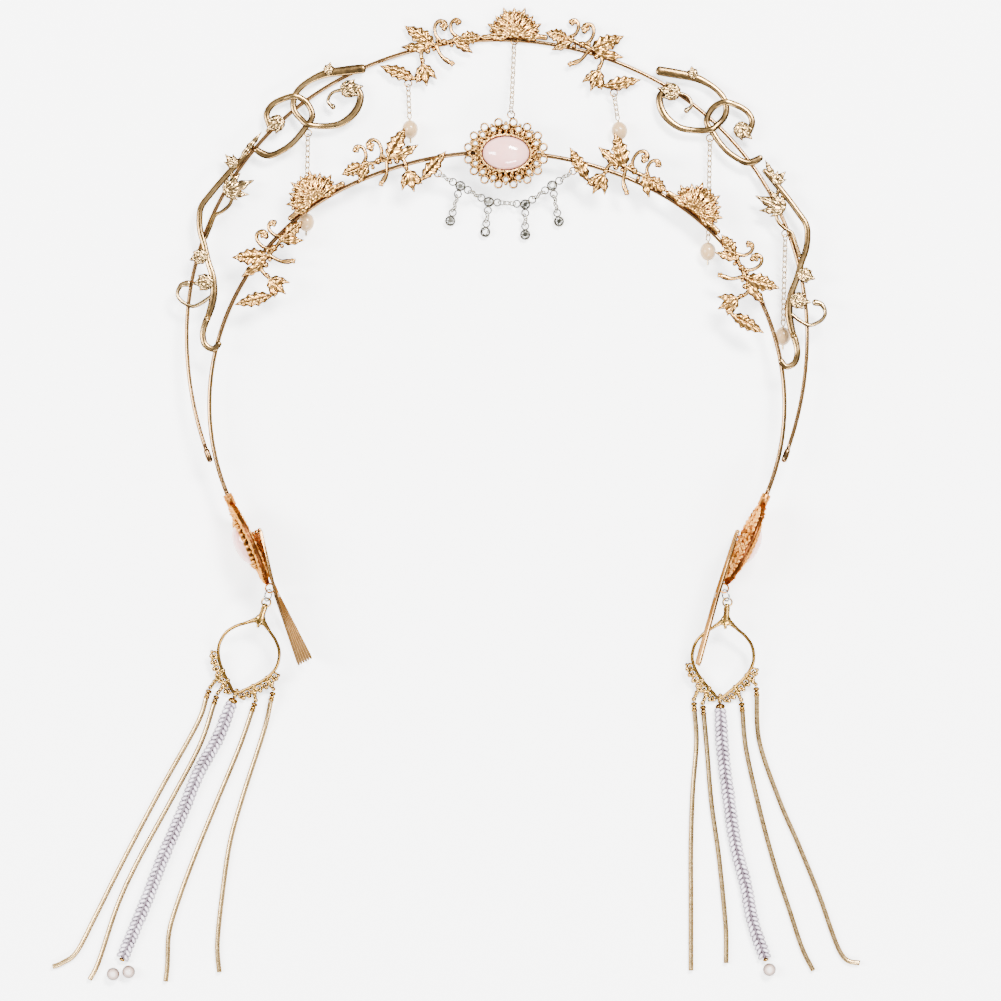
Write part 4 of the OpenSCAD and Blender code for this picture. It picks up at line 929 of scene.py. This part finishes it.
def bezel_relief(r, l, w, h, scallops):
    """Scalloped wall round a stone of l by w, its floor, and a bead at each scallop"""
    d = r.oval(l / 2 + GAP, w / 2 + GAP)
    turn = np.arctan2(r.y / w, r.x / l)
    r.add(np.minimum(d, BEZEL_WALL + 0.15 - d), h + 0.12 * np.cos(scallops * turn))
    r.add(-d + 0.01, np.full(r.x.shape, BEZEL_FLOOR))
    for k in range(scallops):
        a = 360 * (k + 0.5) / scallops
        r.bead(on_oval(l / 2 + 1.0, w / 2 + 1.0, a), 0.48, 0.7, h - 0.75)


def drill(r, at, radius):
    r.cut(np.hypot(r.x - at[0], r.y - at[1]) - radius)


def jewel_relief():
    r = Relief((-14, -12), (14, 13), 0.15)
    half = (STONE_L / 2 + FILIGREE_W - LOOP_R, STONE_W / 2 + FILIGREE_W - LOOP_R)

    def at(k, inwards):
        return on_oval(half[0] - inwards, half[1] - inwards, 360 * k / PETALS)

    r.add(-r.oval(half[0] - LOOP_R / 2, half[1] - LOOP_R / 2), np.full(r.x.shape, 0.38))
    for k in range(PETALS):
        drill(r, at(k, INNER_LOOPS), 0.52)
    for k in range(PETALS):
        drill(r, at(k + 0.5, 0), LOOP_R - LOOP_BAR)
        r.loop(at(k + 0.5, 0), LOOP_R - LOOP_BAR / 2, LOOP_BAR / 2 + 0.03, 0.45, 0.35)
        r.loop(at(k, INNER_LOOPS), 0.80, 0.24, 0.5, 0.45)
        r.leaf(at(k + 0.5, 3.6), at(k + 0.5, 1.15), 1.5, 1.0, 0.45, 2)
        for place, size in ((at(k + 0.28, 1.6), 0.42), (at(k + 0.72, 1.6), 0.42), (at(k, 0.35), 0.5)):
            r.bead(place, size, 0.6, 0.5)
        r.bead(at(k, 2.6), 0.62, 0.7, 0.6, pit=0.25)
    bezel_relief(r, STONE_L, STONE_W, BEZEL_H, 26)
    r.eye((1.4, STONE_W / 2 + FILIGREE_W + EYE_R - EYE_BAR))
    return r


def dome(label, l, w, h, matrix):
    """Oval cabochon on its flat base, with a rounded girdle"""
    n, rings = 64, 20
    rows = [(1 - GIRDLE, 0)] + [(1 - GIRDLE * (1 - sind(a)) * 0.6, GIRDLE * (1 - cosd(a)))
                                for a in (30, 60, 90)]
    rows += [(cosd(a) ** 0.94, GIRDLE + (h - GIRDLE) * sind(a)) for a in
             np.linspace(90 / rings, 90 * (1 - 1 / rings), rings - 1)]
    verts = [(*on_oval(l / 2 * q, w / 2 * q, 360 * k / n), z)
             for q, z in rows for k in range(n)] + [(0, 0, h)]
    last = (len(rows) - 1) * n
    faces = [tuple(reversed(range(n)))] + quads(len(rows), n)
    faces += [(last + k, last + (k + 1) % n, len(verts) - 1) for k in range(n)]
    shape = Shape()
    shape.add(verts, faces, 0.0, matrix @ translation(0, 0, BEZEL_FLOOR + GAP))
    piece(label + "_dome", shape, PINK, [label], edge=0)


shape = Shape()
jewel_relief().mesh(shape, front_seat(R, JEWEL_SEAT), shade=1.1)
piece("centre_setting_filigree", shape, CAST, ["centre_setting"])
dome("centre_stone", STONE_L, STONE_W, STONE_H, front_seat(R, JEWEL_SEAT))

# Side plates, which stand on edge: X runs down along the plate, Z faces outwards

SIDE_STONE_L, SIDE_STONE_W, SIDE_STONE_H = 11.4, 8.4, 3.2
RING_BAR, RING_HOLE_R = 0.5, 0.95
RING_BAR_R = RING_HOLE_R + RING_BAR / 2
PLATE_MID = PLATE_L / 2
PLATE_LEANS = {L: 9, R: -8}
RIM_W = 0.9
BORE = FRONT_WIRE + 2 * GAP
SOCKET_R = BORE / 2 + 0.5
# Each row of granules on a plate's back is a share of its outline, and a count.
BACK_ROWS = ((0.17, 8), (0.31, 15), (0.45, 22), (0.59, 29), (0.72, 35), (0.84, 40))


def join_matrix(side, lean=0):
    return (SIDE[side] @ translation(*JOIN, JOIN_Z) @ rotation(-FRONT_END, "Z")
            @ rotation(lean - 90, "X"))


def plate_relief():
    r = Relief((-PLATE_MID - 0.5, -PLATE_W / 2 - 0.5), (PLATE_MID + 0.5, PLATE_W / 2 + 0.5), CELL)
    big = (PLATE_L ** 2 + PLATE_W ** 2) / 4 / PLATE_W
    low = np.hypot(r.x, r.y + big - PLATE_W / 2)
    high = np.hypot(r.x, r.y - big + PLATE_W / 2)
    body = np.minimum(big - low, big - high)
    r.add(body, np.full(r.x.shape, 0.75))
    r.cut(r.x + PLATE_MID - GAP)
    r.add(np.minimum(body, RIM_W - body), 0.75 + 0.5 * arch((body - RIM_W / 2) / (RIM_W / 2)))
    half_l, half_w = SIDE_STONE_L / 2 + 2.4, SIDE_STONE_W / 2 + 2.3
    for a in range(15, 360, 30):
        at = on_oval(half_l, half_w, a)
        drill(r, at, 0.7)
        r.loop(at, 1.0, 0.28, 0.5, 0.85)
        r.bead(on_oval(half_l + 0.2, half_w + 0.2, a + 15), 0.65, 0.6, 0.85, pit=0.2)
        r.bead(at, 0.42, 0.5, 0.8)
    for share in (0.80, 0.90):
        for k in range(46):
            a = (k + 5 * share) * 360 / 46
            spot = on_oval(share * PLATE_MID, share * PLATE_W / 2, a)
            r.bead(spot, random.uniform(0.4, 0.65), random.uniform(0.5, 1.1), 0.8, pit=0.2)
    for s in (-1, 1):
        for x, size in ((10.2, 0.8), (8.9, 0.65), (11.2, 0.5)):
            r.bead((s * x, 0), size, 0.8, 0.9, pit=0.15)
    bezel_relief(r, SIDE_STONE_L, SIDE_STONE_W, BEZEL_H + PLATE_T - GAP, 24)
    r.inside = np.where(body > -0.3, r.inside, -1)
    return r


def plate_socket(shape, matrix):
    """Turned collar over the front band's end: rows are a radius and a place along the plate"""
    rows = [(BORE / 2, -2.0), (SOCKET_R - 0.12, -2.0), (SOCKET_R, -1.85), (SOCKET_R, -1.0),
            (SOCKET_R + 0.1, -0.9), (SOCKET_R + 0.1, -0.6), (SOCKET_R, -0.5), (SOCKET_R, 1.4),
            (0.3, 1.7), (0.0, 1.7), (0.0, GAP), (BORE / 2, GAP)]
    n = 20
    verts = [(*on_oval(q, q, 360 * k / n), z) for q, z in rows for k in range(n)]
    shape.add(verts, quads(len(rows), n, closed=True), 0.25, matrix @ rotation(90, "Y"))


def back_granules(shape, matrix):
    for share, count in BACK_ROWS:
        for k in range(count):
            a = (k + 3 * share) * 360 / count
            spot = (*on_oval(share * PLATE_MID, share * (PLATE_W / 2 + 0.4), a), 0)
            size = random.uniform(0.45, 0.8)
            ball(shape, spot, (size, size, 0.5), 10, 6, matrix, random.choice((0, 0, 0.15, 0.4)))


def ring_eye(shape, matrix, tone):
    tube(shape, circle(RING_BAR_R, 24), RING_BAR / 2, sides=10, closed=True, matrix=matrix,
         tone=tone)


for side in (L, R):
    shape = Shape()
    m = join_matrix(side, PLATE_LEANS[side])
    back = m @ translation(PLATE_MID, 0, -PLATE_T / 2)
    plate_relief().mesh(shape, back)
    plate_socket(shape, m)
    back_granules(shape, back)
    ring_eye(shape, m @ translation(PLATE_L + RING_BAR_R, 0, 0)
             @ rotation(90 - PLATE_LEANS[side], "X"), 0.2)
    label = "side_plate_" + LETTER[side]
    piece(label + "_filigree", shape, PLATE, [label], edge=0.1)
    dome("side_stone_" + LETTER[side], SIDE_STONE_L, SIDE_STONE_W, SIDE_STONE_H,
         m @ translation(PLATE_MID, 0, PLATE_T / 2 - GAP))

# Combs: six prongs on each side of a bar, joined in pairs at their upper ends

COMB_L, COMB_W, PRONG_D, COMB_BAR_D, PRONGS = 38, 13.8, 0.9, 1.6, 6
PRONG_R = PRONG_D / 2
COMB_UP_SHARE = 0.48
COMB_UP, COMB_DOWN = COMB_L * COMB_UP_SHARE, COMB_L * (1 - COMB_UP_SHARE)
COMB_LEANS = {L: (6.5, 1.5), R: (6.8, 9)}
COMB_FANS = {L: 3.1, R: 0.3}
COMB_X = PLATE_L + 2 * RING_HOLE_R + 1.5 * RING_BAR + COMB_BAR_D / 2 + 0.3
COMB_Y = -0.3
COMB_Z = -PLATE_T - PRONG_R + 0.4
ARCH = 0.3


def comb_prongs(shape, matrix, up_lean, down_lean, fan):
    """Prongs through a bar. Fan is how far the outer prongs part, above and below it."""
    tops = []
    for k in range(PRONGS):
        share = k / (PRONGS - 1) - 0.5
        middle = np.array([0, share * COMB_W, 0])
        top = middle + (-COMB_UP * cosd(up_lean), 0, -COMB_UP * sind(up_lean) + share * fan)
        foot = middle + (COMB_DOWN * cosd(down_lean), 0, COMB_DOWN * sind(down_lean) - share * fan)
        top *= (0.975, 1, 0.975)
        tops.append(top)
        rows = [top + t * (middle - top) for t in (0, 0.5, 1)]
        rows += [middle + t * (foot - middle) for t in (0.5, 0.93, 0.985)]
        tube(shape, rows, [PRONG_R] * 4 + [0.42, 0.27], sides=12, matrix=matrix,
             tone=[0.1, 0.2, 0.5, 0.15, 0.05, 0.1])
    for a, b in zip(tops[::2], tops[1::2]):
        rows = [a * (1 - t) + b * t - np.array([ARCH * math.sin(math.pi * t), 0, 0])
                for t in np.linspace(0, 1, 7)]
        tube(shape, rows, PRONG_R, sides=12, matrix=matrix, tone=0.1)


for side in (L, R):
    label = "comb_" + LETTER[side]
    m = join_matrix(side) @ translation(COMB_X, COMB_Y, COMB_Z)
    shape = Shape()
    ball(shape, (0, 0, 0), (COMB_BAR_D / 2, COMB_W / 2 + 0.4, COMB_BAR_D / 2), 14, 12, m, 0.2)
    comb_prongs(shape, m, *COMB_LEANS[side], COMB_FANS[side])
    piece(label + "_prongs", shape, COMB, [label], edge=0.5)

# Drop pearls, drilled along their pins. Each has the direction of its pin.

PEARL_D, PEARL_L, PIN_D = 4.3, 5.0, 0.5
DROPS = {"pearl_l1": (0.5, -12.4), "pearl_l2": (-0.5, -24), "pearl_r1": (1.5, -10.2),
         "pearl_r2": (-0.5, -30.5), "pearl_r3": (-0.5, -27.6)}


def drop_pearl(label, pin):
    """Pearl with a narrow bore, a little slimmer towards the far end of its pin"""
    low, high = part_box(label)
    middle = (np.array(low) + np.array(high)) / 2 / MM
    along = unit((*pin, 0))
    across, up = np.array([-along[1], along[0], 0]), np.array([0, 0, 1])
    stop = math.acos((PIN_D + 2 * GAP) / PEARL_D)
    rings, n = 26, 32
    verts = []
    for t in np.linspace(-stop, stop, rings):
        q = PEARL_D / 2 * math.cos(t) * min(1 - 0.05 * math.sin(t), 1.0)
        verts += [middle + PEARL_L / 2 * math.sin(t) * along
                  + q * (math.cos(2 * math.pi * k / n) * across
                         + math.sin(2 * math.pi * k / n) * up) for k in range(n)]
    shape = Shape()
    shape.add(verts, [(a, d, c, b) for a, b, c, d in quads(rings, n, closed=True)], 0.1)
    # edge paints shade on the pearl's flanks and underside
    piece(label + "_lustre", shape, PEARL, [label], edge=0.75)


for label, pin in DROPS.items():
    drop_pearl(label, pin)

# Hoops

HOOP_L, HOOP_W, HOOP_WIRE, JUMP_D, JUMP_WIRE = 27.2, 16.4, 0.9, 3.6, 0.45
JUMP_R = (JUMP_D - JUMP_WIRE) / 2
JUMP_REACH = 2 * (JUMP_R + RING_HOLE_R - JUMP_WIRE / 2 - 0.35)
# Degrees from straight down the photo: a jump ring's turn outwards, and its hoop's to the left
HANGS = {L: (15, 19.5), R: (14, 4)}
HOOP_OUTLINE = [(0.19, 0.12), (0.26, 0.36), (0.33, 0.66), (0.42, 0.90), (0.52, 1),
                (0.62, 0.99), (0.73, 0.84), (0.84, 0.56), (0.93, 0.27), (1, 0)]
LACE_STARTS = [(0.82, -0.62), (0.90, -0.36), (0.97, 0.02), (0.87, 0.47), (0.74, 0.82)]
LACE_ENDS = [(1.03, -0.84), (1.06, -0.54), (1.03, 0.02), (1.00, 0.72), (0.83, 1.16)]
LACE_T, LACE_END_R = 0.7, 0.45
HOOP_FALL = math.degrees(math.asin((JOIN_Z - LACE_T) / (LACE_ENDS[1][0] * HOOP_L + RING_BAR_R)))


def hoop_eye_at(side):
    h = HANGS[side][0]
    along = turned((PLATE_L + RING_BAR_R, 0), -FRONT_END)
    x = JOIN[0] + along[0] + JUMP_REACH * sind(h)
    y = JOIN[1] + along[1] - JUMP_REACH * cosd(h)
    return np.array([side * x, y, JOIN_Z - RING_BAR_R * sind(HOOP_FALL)])


def hoop_matrix(side):
    return (translation(*hoop_eye_at(side)) @ rotation(-90 - HANGS[side][1], "Z")
            @ rotation(HOOP_FALL, "Y"))


def hoop_point(p):
    return np.array([p[0] * HOOP_L, p[1] * HOOP_W / 2])


LACE_OUT = np.array([0.62, 0.79])


def hoop_lace(r):
    """The neck below the eye, and two branches from it to the wire"""
    r.stem([(1.1, 0, 0.75), (2.0, 0, 0.85), (3.2, 0, 0.78), (4.4, 0, 1.0), (5.3, 0, 1.5)],
           0.75, 0.15)
    for s in (-1, 1):
        r.stem([(5.0, s * 0.3, 0.7), (5.9, s * 1.4, 0.6), (7.1, s * 3.0, 0.45)], 0.6, 0.2)
    for x, y, size in ((6.3, 0, 0.6), (6.0, 0.9, 0.5), (6.0, -0.9, 0.5), (7.1, 0, 0.45)):
        r.bead((x, y), size, 0.6, 0.3, pit=0.1)


def hoop_edge(r):
    """A loop with its four beads at each step along the lower half of the wire"""
    for s in (-1, 1):
        for x, y in spline(HOOP_OUTLINE[5:], 2)[1:-1]:
            out = LACE_OUT * (1, s)
            q = hoop_point((x, s * y)) + 1.1 * out
            r.loop(q, 0.87, 0.26, 0.45, 0.2)
            r.bead(q, 0.42, 0.6, 0.3)
            r.bead(q + 1.0 * out, 0.58, 0.7, 0.25, pit=0.1)
            r.bead(q + np.array([0.62, -s * 0.4]), 0.42, 0.55, 0.25)
            r.bead(q + np.array([-0.5, s * 1.05]), 0.45, 0.6, 0.25)


def hoop_arms(r):
    """Beaded arms from the wire to the eyes that the strands hang on"""
    for a, b in zip(LACE_STARTS, LACE_ENDS):
        p, q = hoop_point(a), hoop_point(b)
        n = max(2, int(np.linalg.norm(q - p) / 0.95))
        r.stem([(*(p + (q - p) * k / 6), 0.42) for k in range(7)], 0.3, 0.2)
        for k in range(n + 1):
            c = p + (q - p) * k / n
            r.bead(c * 0.985 + p * 0.015, 0.62 - 0.1 * (k % 2), 0.65, 0.3, pit=0.15)


for side in (L, R):
    m = hoop_matrix(side)
    shape = Shape()
    outline = HOOP_OUTLINE + [(x, -y) for x, y in HOOP_OUTLINE[-2::-1]]
    line = np.array([hoop_point(q) for q in spline(outline, 8, True)])
    tube(shape, np.column_stack([line, np.zeros(len(line))]), HOOP_WIRE / 2, sides=12,
         closed=True, matrix=m, tone=0.28)
    ring_eye(shape, m, 0.05)
    r = Relief((0.5, -13), (HOOP_L + 3.5, 13), 0.14)
    hoop_lace(r)
    hoop_edge(r)
    hoop_arms(r)
    r.mesh(shape, m @ translation(0, 0, -LACE_T / 2))
    label = "hoop_" + LETTER[side]
    piece(label + "_lace", shape, HOOP, [label])

# Tassels: snake chains with end caps, and ropes of seed pearls

SNAKE_D = 1.3
CAP_R, CAP_L = SNAKE_D / 2 + 0.25, 2.4
RIB_STEP = 0.21
ROPE_W, ROPE_T = 3.7, 2.4
SEED_PITCH, ROPE_STEP, ROPE_START = 1.3, 0.1, 1.5
SEED_HALF = (1.14, 0.64, 0.98)
SEED_ASIDE, SEED_LEAN, SEED_Z = 0.92, 48, 1.02
END_PEARL_D = 3.5
# Each route starts at the first bend of its strand and is measured from the hoop's eye. Each
# strand has its side, the number of its eye on the lace, and its route.
ROUTES = {
    "snake_chain_l1": (L, 0, [(-19, -33), (-29, -51), (-39, -70), (-46.5, -85), (-51.5, -94.5),
                              (-55.5, -97.5), (-58, -98.5)]),
    "snake_chain_l2": (L, 1, [(-18.2, -38.6), (-26, -53.5), (-35, -70), (-40.5, -82),
                              (-45.5, -97), (-48, -102)]),
    "snake_chain_l3": (L, 3, [(-7.5, -39), (-13.5, -53.5), (-19, -67), (-23.5, -79),
                              (-26.5, -89), (-27, -98), (-27.5, -102.5)]),
    "snake_chain_l4": (L, 4, [(-1, -35), (-6.5, -52), (-10, -64.5), (-12, -77.5), (-13.5, -92),
                              (-13, -100)]),
    "snake_chain_r1": (R, 0, [(-8, -38), (-9, -51), (-9.5, -65.5), (-9.5, -80.5), (-9.5, -99.5)]),
    "snake_chain_r2": (R, 1, [(-5.2, -39.5), (-4, -54), (-2, -68.5), (-0.5, -83), (0, -90),
                              (0, -97.5)]),
    "snake_chain_r3": (R, 3, [(5.5, -40.5), (9.5, -58), (13.5, -72.5), (17, -83),
                              (20.5, -93.5), (23.5, -99.5)]),
    "snake_chain_r4": (R, 4, [(9, -38), (14.5, -54), (19.5, -65.5), (25, -79), (31, -95),
                              (36, -97.5)]),
    "pearl_rope_l": (L, 2, [(-13.6, -37.2), (-18.5, -46), (-23, -57), (-28, -68.5), (-32, -79),
                            (-35.5, -87.5), (-39.5, -97)]),
    "pearl_rope_r": (R, 2, [(-1, -39.5), (0.5, -52), (2.5, -65.5), (5.5, -77.5), (7, -86),
                            (10.8, -97)])}


def on_table(side, p):
    eye = hoop_eye_at(side)
    return eye[0] + p[0], eye[1] + p[1]


def on_hoop(side, p):
    q = turned((p[0] * cosd(HOOP_FALL), p[1]), -90 - HANGS[side][1])
    return hoop_eye_at(side) + np.array([q[0], q[1], -p[0] * sind(HOOP_FALL)])


def strand_rows(side, k, route, cap_z, own_z):
    """Top and direction of a strand's cap, and the strand's own line from there"""
    route = [on_table(side, q) for q in route]
    end = on_hoop(side, hoop_point(LACE_ENDS[k]))
    u = unit((route[0][0] - end[0], route[0][1] - end[1], 0))
    top = np.array([end[0], end[1], max(end[2], cap_z)]) + (LACE_END_R + GAP) * u
    slope = (top[2] - own_z) / math.hypot(route[0][0] - top[0], route[0][1] - top[1])
    fall = u - np.array([0, 0, slope * 0.6])
    rows = [top + (CAP_L + 0.3) * fall] + [np.array([x, y, own_z]) for x, y in route]
    return top, unit(fall), np.vstack([[top], [top + CAP_L * fall], spline(rows, 8)])


def even(points, step):
    """The same line in even steps, and its length"""
    p = np.asarray(points)
    s = np.concatenate([[0], np.cumsum(np.linalg.norm(np.diff(p, axis=0), axis=1))])
    n = max(2, int(round(s[-1] / step)) + 1)
    t = np.linspace(0, s[-1], n)
    return np.stack([np.interp(t, s, p[:, k]) for k in range(p.shape[1])], axis=1), s[-1]


def knob(shape, centre, radii, ahead, tone, segments=14, rings=10):
    ball(shape, centre, radii, segments, rings, tone=tone, turn=heading(ahead))


def snake_chain(label, side, k, route):
    top, ahead, line = strand_rows(side, k, route, CAP_R, SNAKE_D / 2)
    path, _ = even(line, RIB_STEP)
    path[:, 2] = np.maximum(path[:, 2], SNAKE_D / 2 + 0.01)
    under_cap = path[10:]
    rib = np.arange(len(under_cap)) % 2 == 0
    shape = Shape()
    # painted shade in the grooves between ribs; the edge tone adds painted shade on the flanks
    tube(shape, under_cap, SNAKE_D / 2 * np.where(rib, 1.06, 0.97), sides=10,
         tone=np.where(rib, 0.0, 0.28), rounded=False)
    piece(label + "_ribs", shape, SNAKE, [label], edge=0.62)
    shape = Shape()
    for shift, size, tone in ((0.0, 1.0, 0.35), (0.95, 0.82, 0.2), (1.7, 0.92, 0.3)):
        r = CAP_R * size
        c = top + 0.55 * ahead + shift * ahead
        knob(shape, (c[0], c[1], max(c[2], r + 0.02)), (0.55, r, r), ahead, tone)
    tail = unit(path[-1] - path[-6])
    knob(shape, path[-1] - 0.45 * tail, (0.5, SNAKE_D / 2, SNAKE_D / 2), tail, 0.4)
    piece(label + "_caps", shape, HOOP, [])


def seed_row(shape, path, i):
    """Two seeds aslant, one a quarter of a pitch further on. The first rows are narrower."""
    for s in (-1, 1):
        along = ROPE_START + i * SEED_PITCH + 0.25 * (s > 0) * SEED_PITCH
        at = min(len(path) - 2, int(along / ROPE_STEP))
        d = unit(path[min(at + 8, len(path) - 1)] - path[max(at - 8, 0)])
        wide = 0.78 + 0.22 * min(i / 3, 1)
        c = path[at] + s * SEED_ASIDE * wide * np.array([-d[1], d[0], 0])
        lean = heading(d) + s * math.radians(SEED_LEAN + random.uniform(-9, 9))
        size = 1 + random.uniform(-0.06, 0.04)
        c[2] = max(c[2] - random.uniform(0, 0.12), SEED_Z)
        ball(shape, c, (SEED_HALF[0] * size, SEED_HALF[1] * size, SEED_HALF[2] * size), 14, 9,
             tone=random.uniform(-0.12, 0.12), turn=lean)


def pearl_rope(label, side, k, route):
    top, ahead, line = strand_rows(side, k, route, ROPE_T / 2, ROPE_T / 2)
    path, length = even(line, ROPE_STEP)
    shape = Shape()
    for i in range(int((length - ROPE_START) / SEED_PITCH)):
        seed_row(shape, path, i)
    # the core is toned dark as painted shade in the gaps between seeds, and edge gives each seed a
    # dark painted outline
    tube(shape, path[6:-8], 0.6, sides=8, tone=0.6)
    piece(label + "_seeds", shape, SEED, [label], edge=1.2)
    shape = Shape()
    knob(shape, top + 0.75 * ahead, (0.8, ROPE_W * 0.36, ROPE_T / 2 - 0.05), ahead, 0.3, 16)
    tail = unit(path[-1] - path[-9])
    knob(shape, path[-1] - 0.5 * tail, (0.45, 0.8, 0.8), tail, 0.2, 14, 9)
    piece(label + "_caps", shape, HOOP, [])


for label, (side, k, route) in ROUTES.items():
    if label.startswith("snake"):
        snake_chain(label, side, k, route)
    else:
        pearl_rope(label, side, k, route)

END_PEARLS = {"end_pearls_l": (L, [(-41.6, -100.4), (-37.4, -99.8)]),
              "end_pearls_r": (R, [(11.6, -99.2)])}
for label, (side, places) in END_PEARLS.items():
    shape = Shape()
    for q in places:
        ball(shape, (*on_table(side, q), END_PEARL_D / 2), (END_PEARL_D / 2,) * 3, 32, 22,
             tone=0.05)
    # edge paints dark shade on the rims and undersides of the end pearls
    piece(label + "_lustre", shape, CRYSTAL, [label], edge=1.3)

# Rhinestones in their cups: a table of eight sides, crown facets, girdle and pavilion

GEM_D, GEM_SIDES = 2.1, 16
# painted reflections: each facet's tone, from a dark facet to a white flash
GEM_PAINTED_FLASHES = (0.0, 0.1, 0.3, 0.9, 1.0)


def stone_verts(node):
    """Vertices of each stone in the node, in millimetres, in the order in which they come"""
    co = np.array([v.co for v in node.data.vertices]) / MM
    found = []
    for p in co:
        if all(math.hypot(p[0] - q[0], p[1] - q[1]) >= GEM_D + 0.1 for q in found):
            found.append(p)
    return [co[np.hypot(co[:, 0] - q[0], co[:, 1] - q[1]) < GEM_D + 0.1] for q in found]


def gem_verts(middle, low, high):
    """Rings from the culet up to the table, the first and last with half the points"""
    n, r, rise = GEM_SIDES, GEM_D / 2, high - low
    verts = []
    for radius, z, count, shift in ((0.02, low, n // 2, 0), (r, low + 0.41 * rise, n, 0),
                                    (r, low + 0.56 * rise, n, 0),
                                    (r * 0.80, low + 0.80 * rise, n, 0.5),
                                    (r * 0.55, high, n // 2, 0)):
        for k in range(count):
            a = 2 * math.pi * (k + shift) / count
            verts.append((middle[0] + radius * math.cos(a), middle[1] + radius * math.sin(a), z))
    return verts


def gem_faces():
    n, half = GEM_SIDES, GEM_SIDES // 2
    girdle, edge, crown = half, half + n, half + 2 * n
    top = half + 3 * n
    faces = [tuple(reversed(range(half))), tuple(range(top, top + half))]
    for k in range(n):
        j = (k + 1) % n
        here, after = k // 2, (k // 2 + 1) % half
        odd = k % 2 == 1
        faces += [(girdle + k, girdle + j, edge + j, edge + k), (edge + k, edge + j, crown + k),
                  (crown + k, edge + j, crown + j), (here, girdle + j, girdle + k)]
        if odd:
            faces.append((here, after, girdle + j))
        faces.append((crown + k, crown + j, top + (after if odd else here)))
        if odd:
            faces.append((crown + k, top + after, top + here))
    return faces


shape = Shape()
for stone in stone_verts(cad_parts["swag_stones"]):
    low, high = stone.min(0), stone.max(0)
    verts = gem_verts((low + high) / 2, low[2], high[2])
    for f in gem_faces():
        shape.add([verts[i] for i in f], [tuple(range(len(f)))], random.choice(GEM_PAINTED_FLASHES))
piece("swag_stones_facets", shape, GEM, ["swag_stones"], flat=True, edge=0)

# Materials of the solids that stay

STAYING = {"centre_chain": FINE, "swag_chain": SWAG, "swag_settings": SWAG,
           "jump_ring_l": SILVER, "jump_ring_r": SILVER}
STAYING.update({label.replace("pearl", "pearl_chain"): FINE for label in DROPS})
for label, material in STAYING.items():
    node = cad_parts[label]
    node.data.materials.clear()
    node.data.materials.append(material)

# The table

TABLE_BELOW = 0.00015
bpy.ops.mesh.primitive_plane_add(size=3.0, location=(0, -0.02, -TABLE_BELOW))
table = bpy.context.object
table.name = "table_top"
table.data.materials.append(table_material())
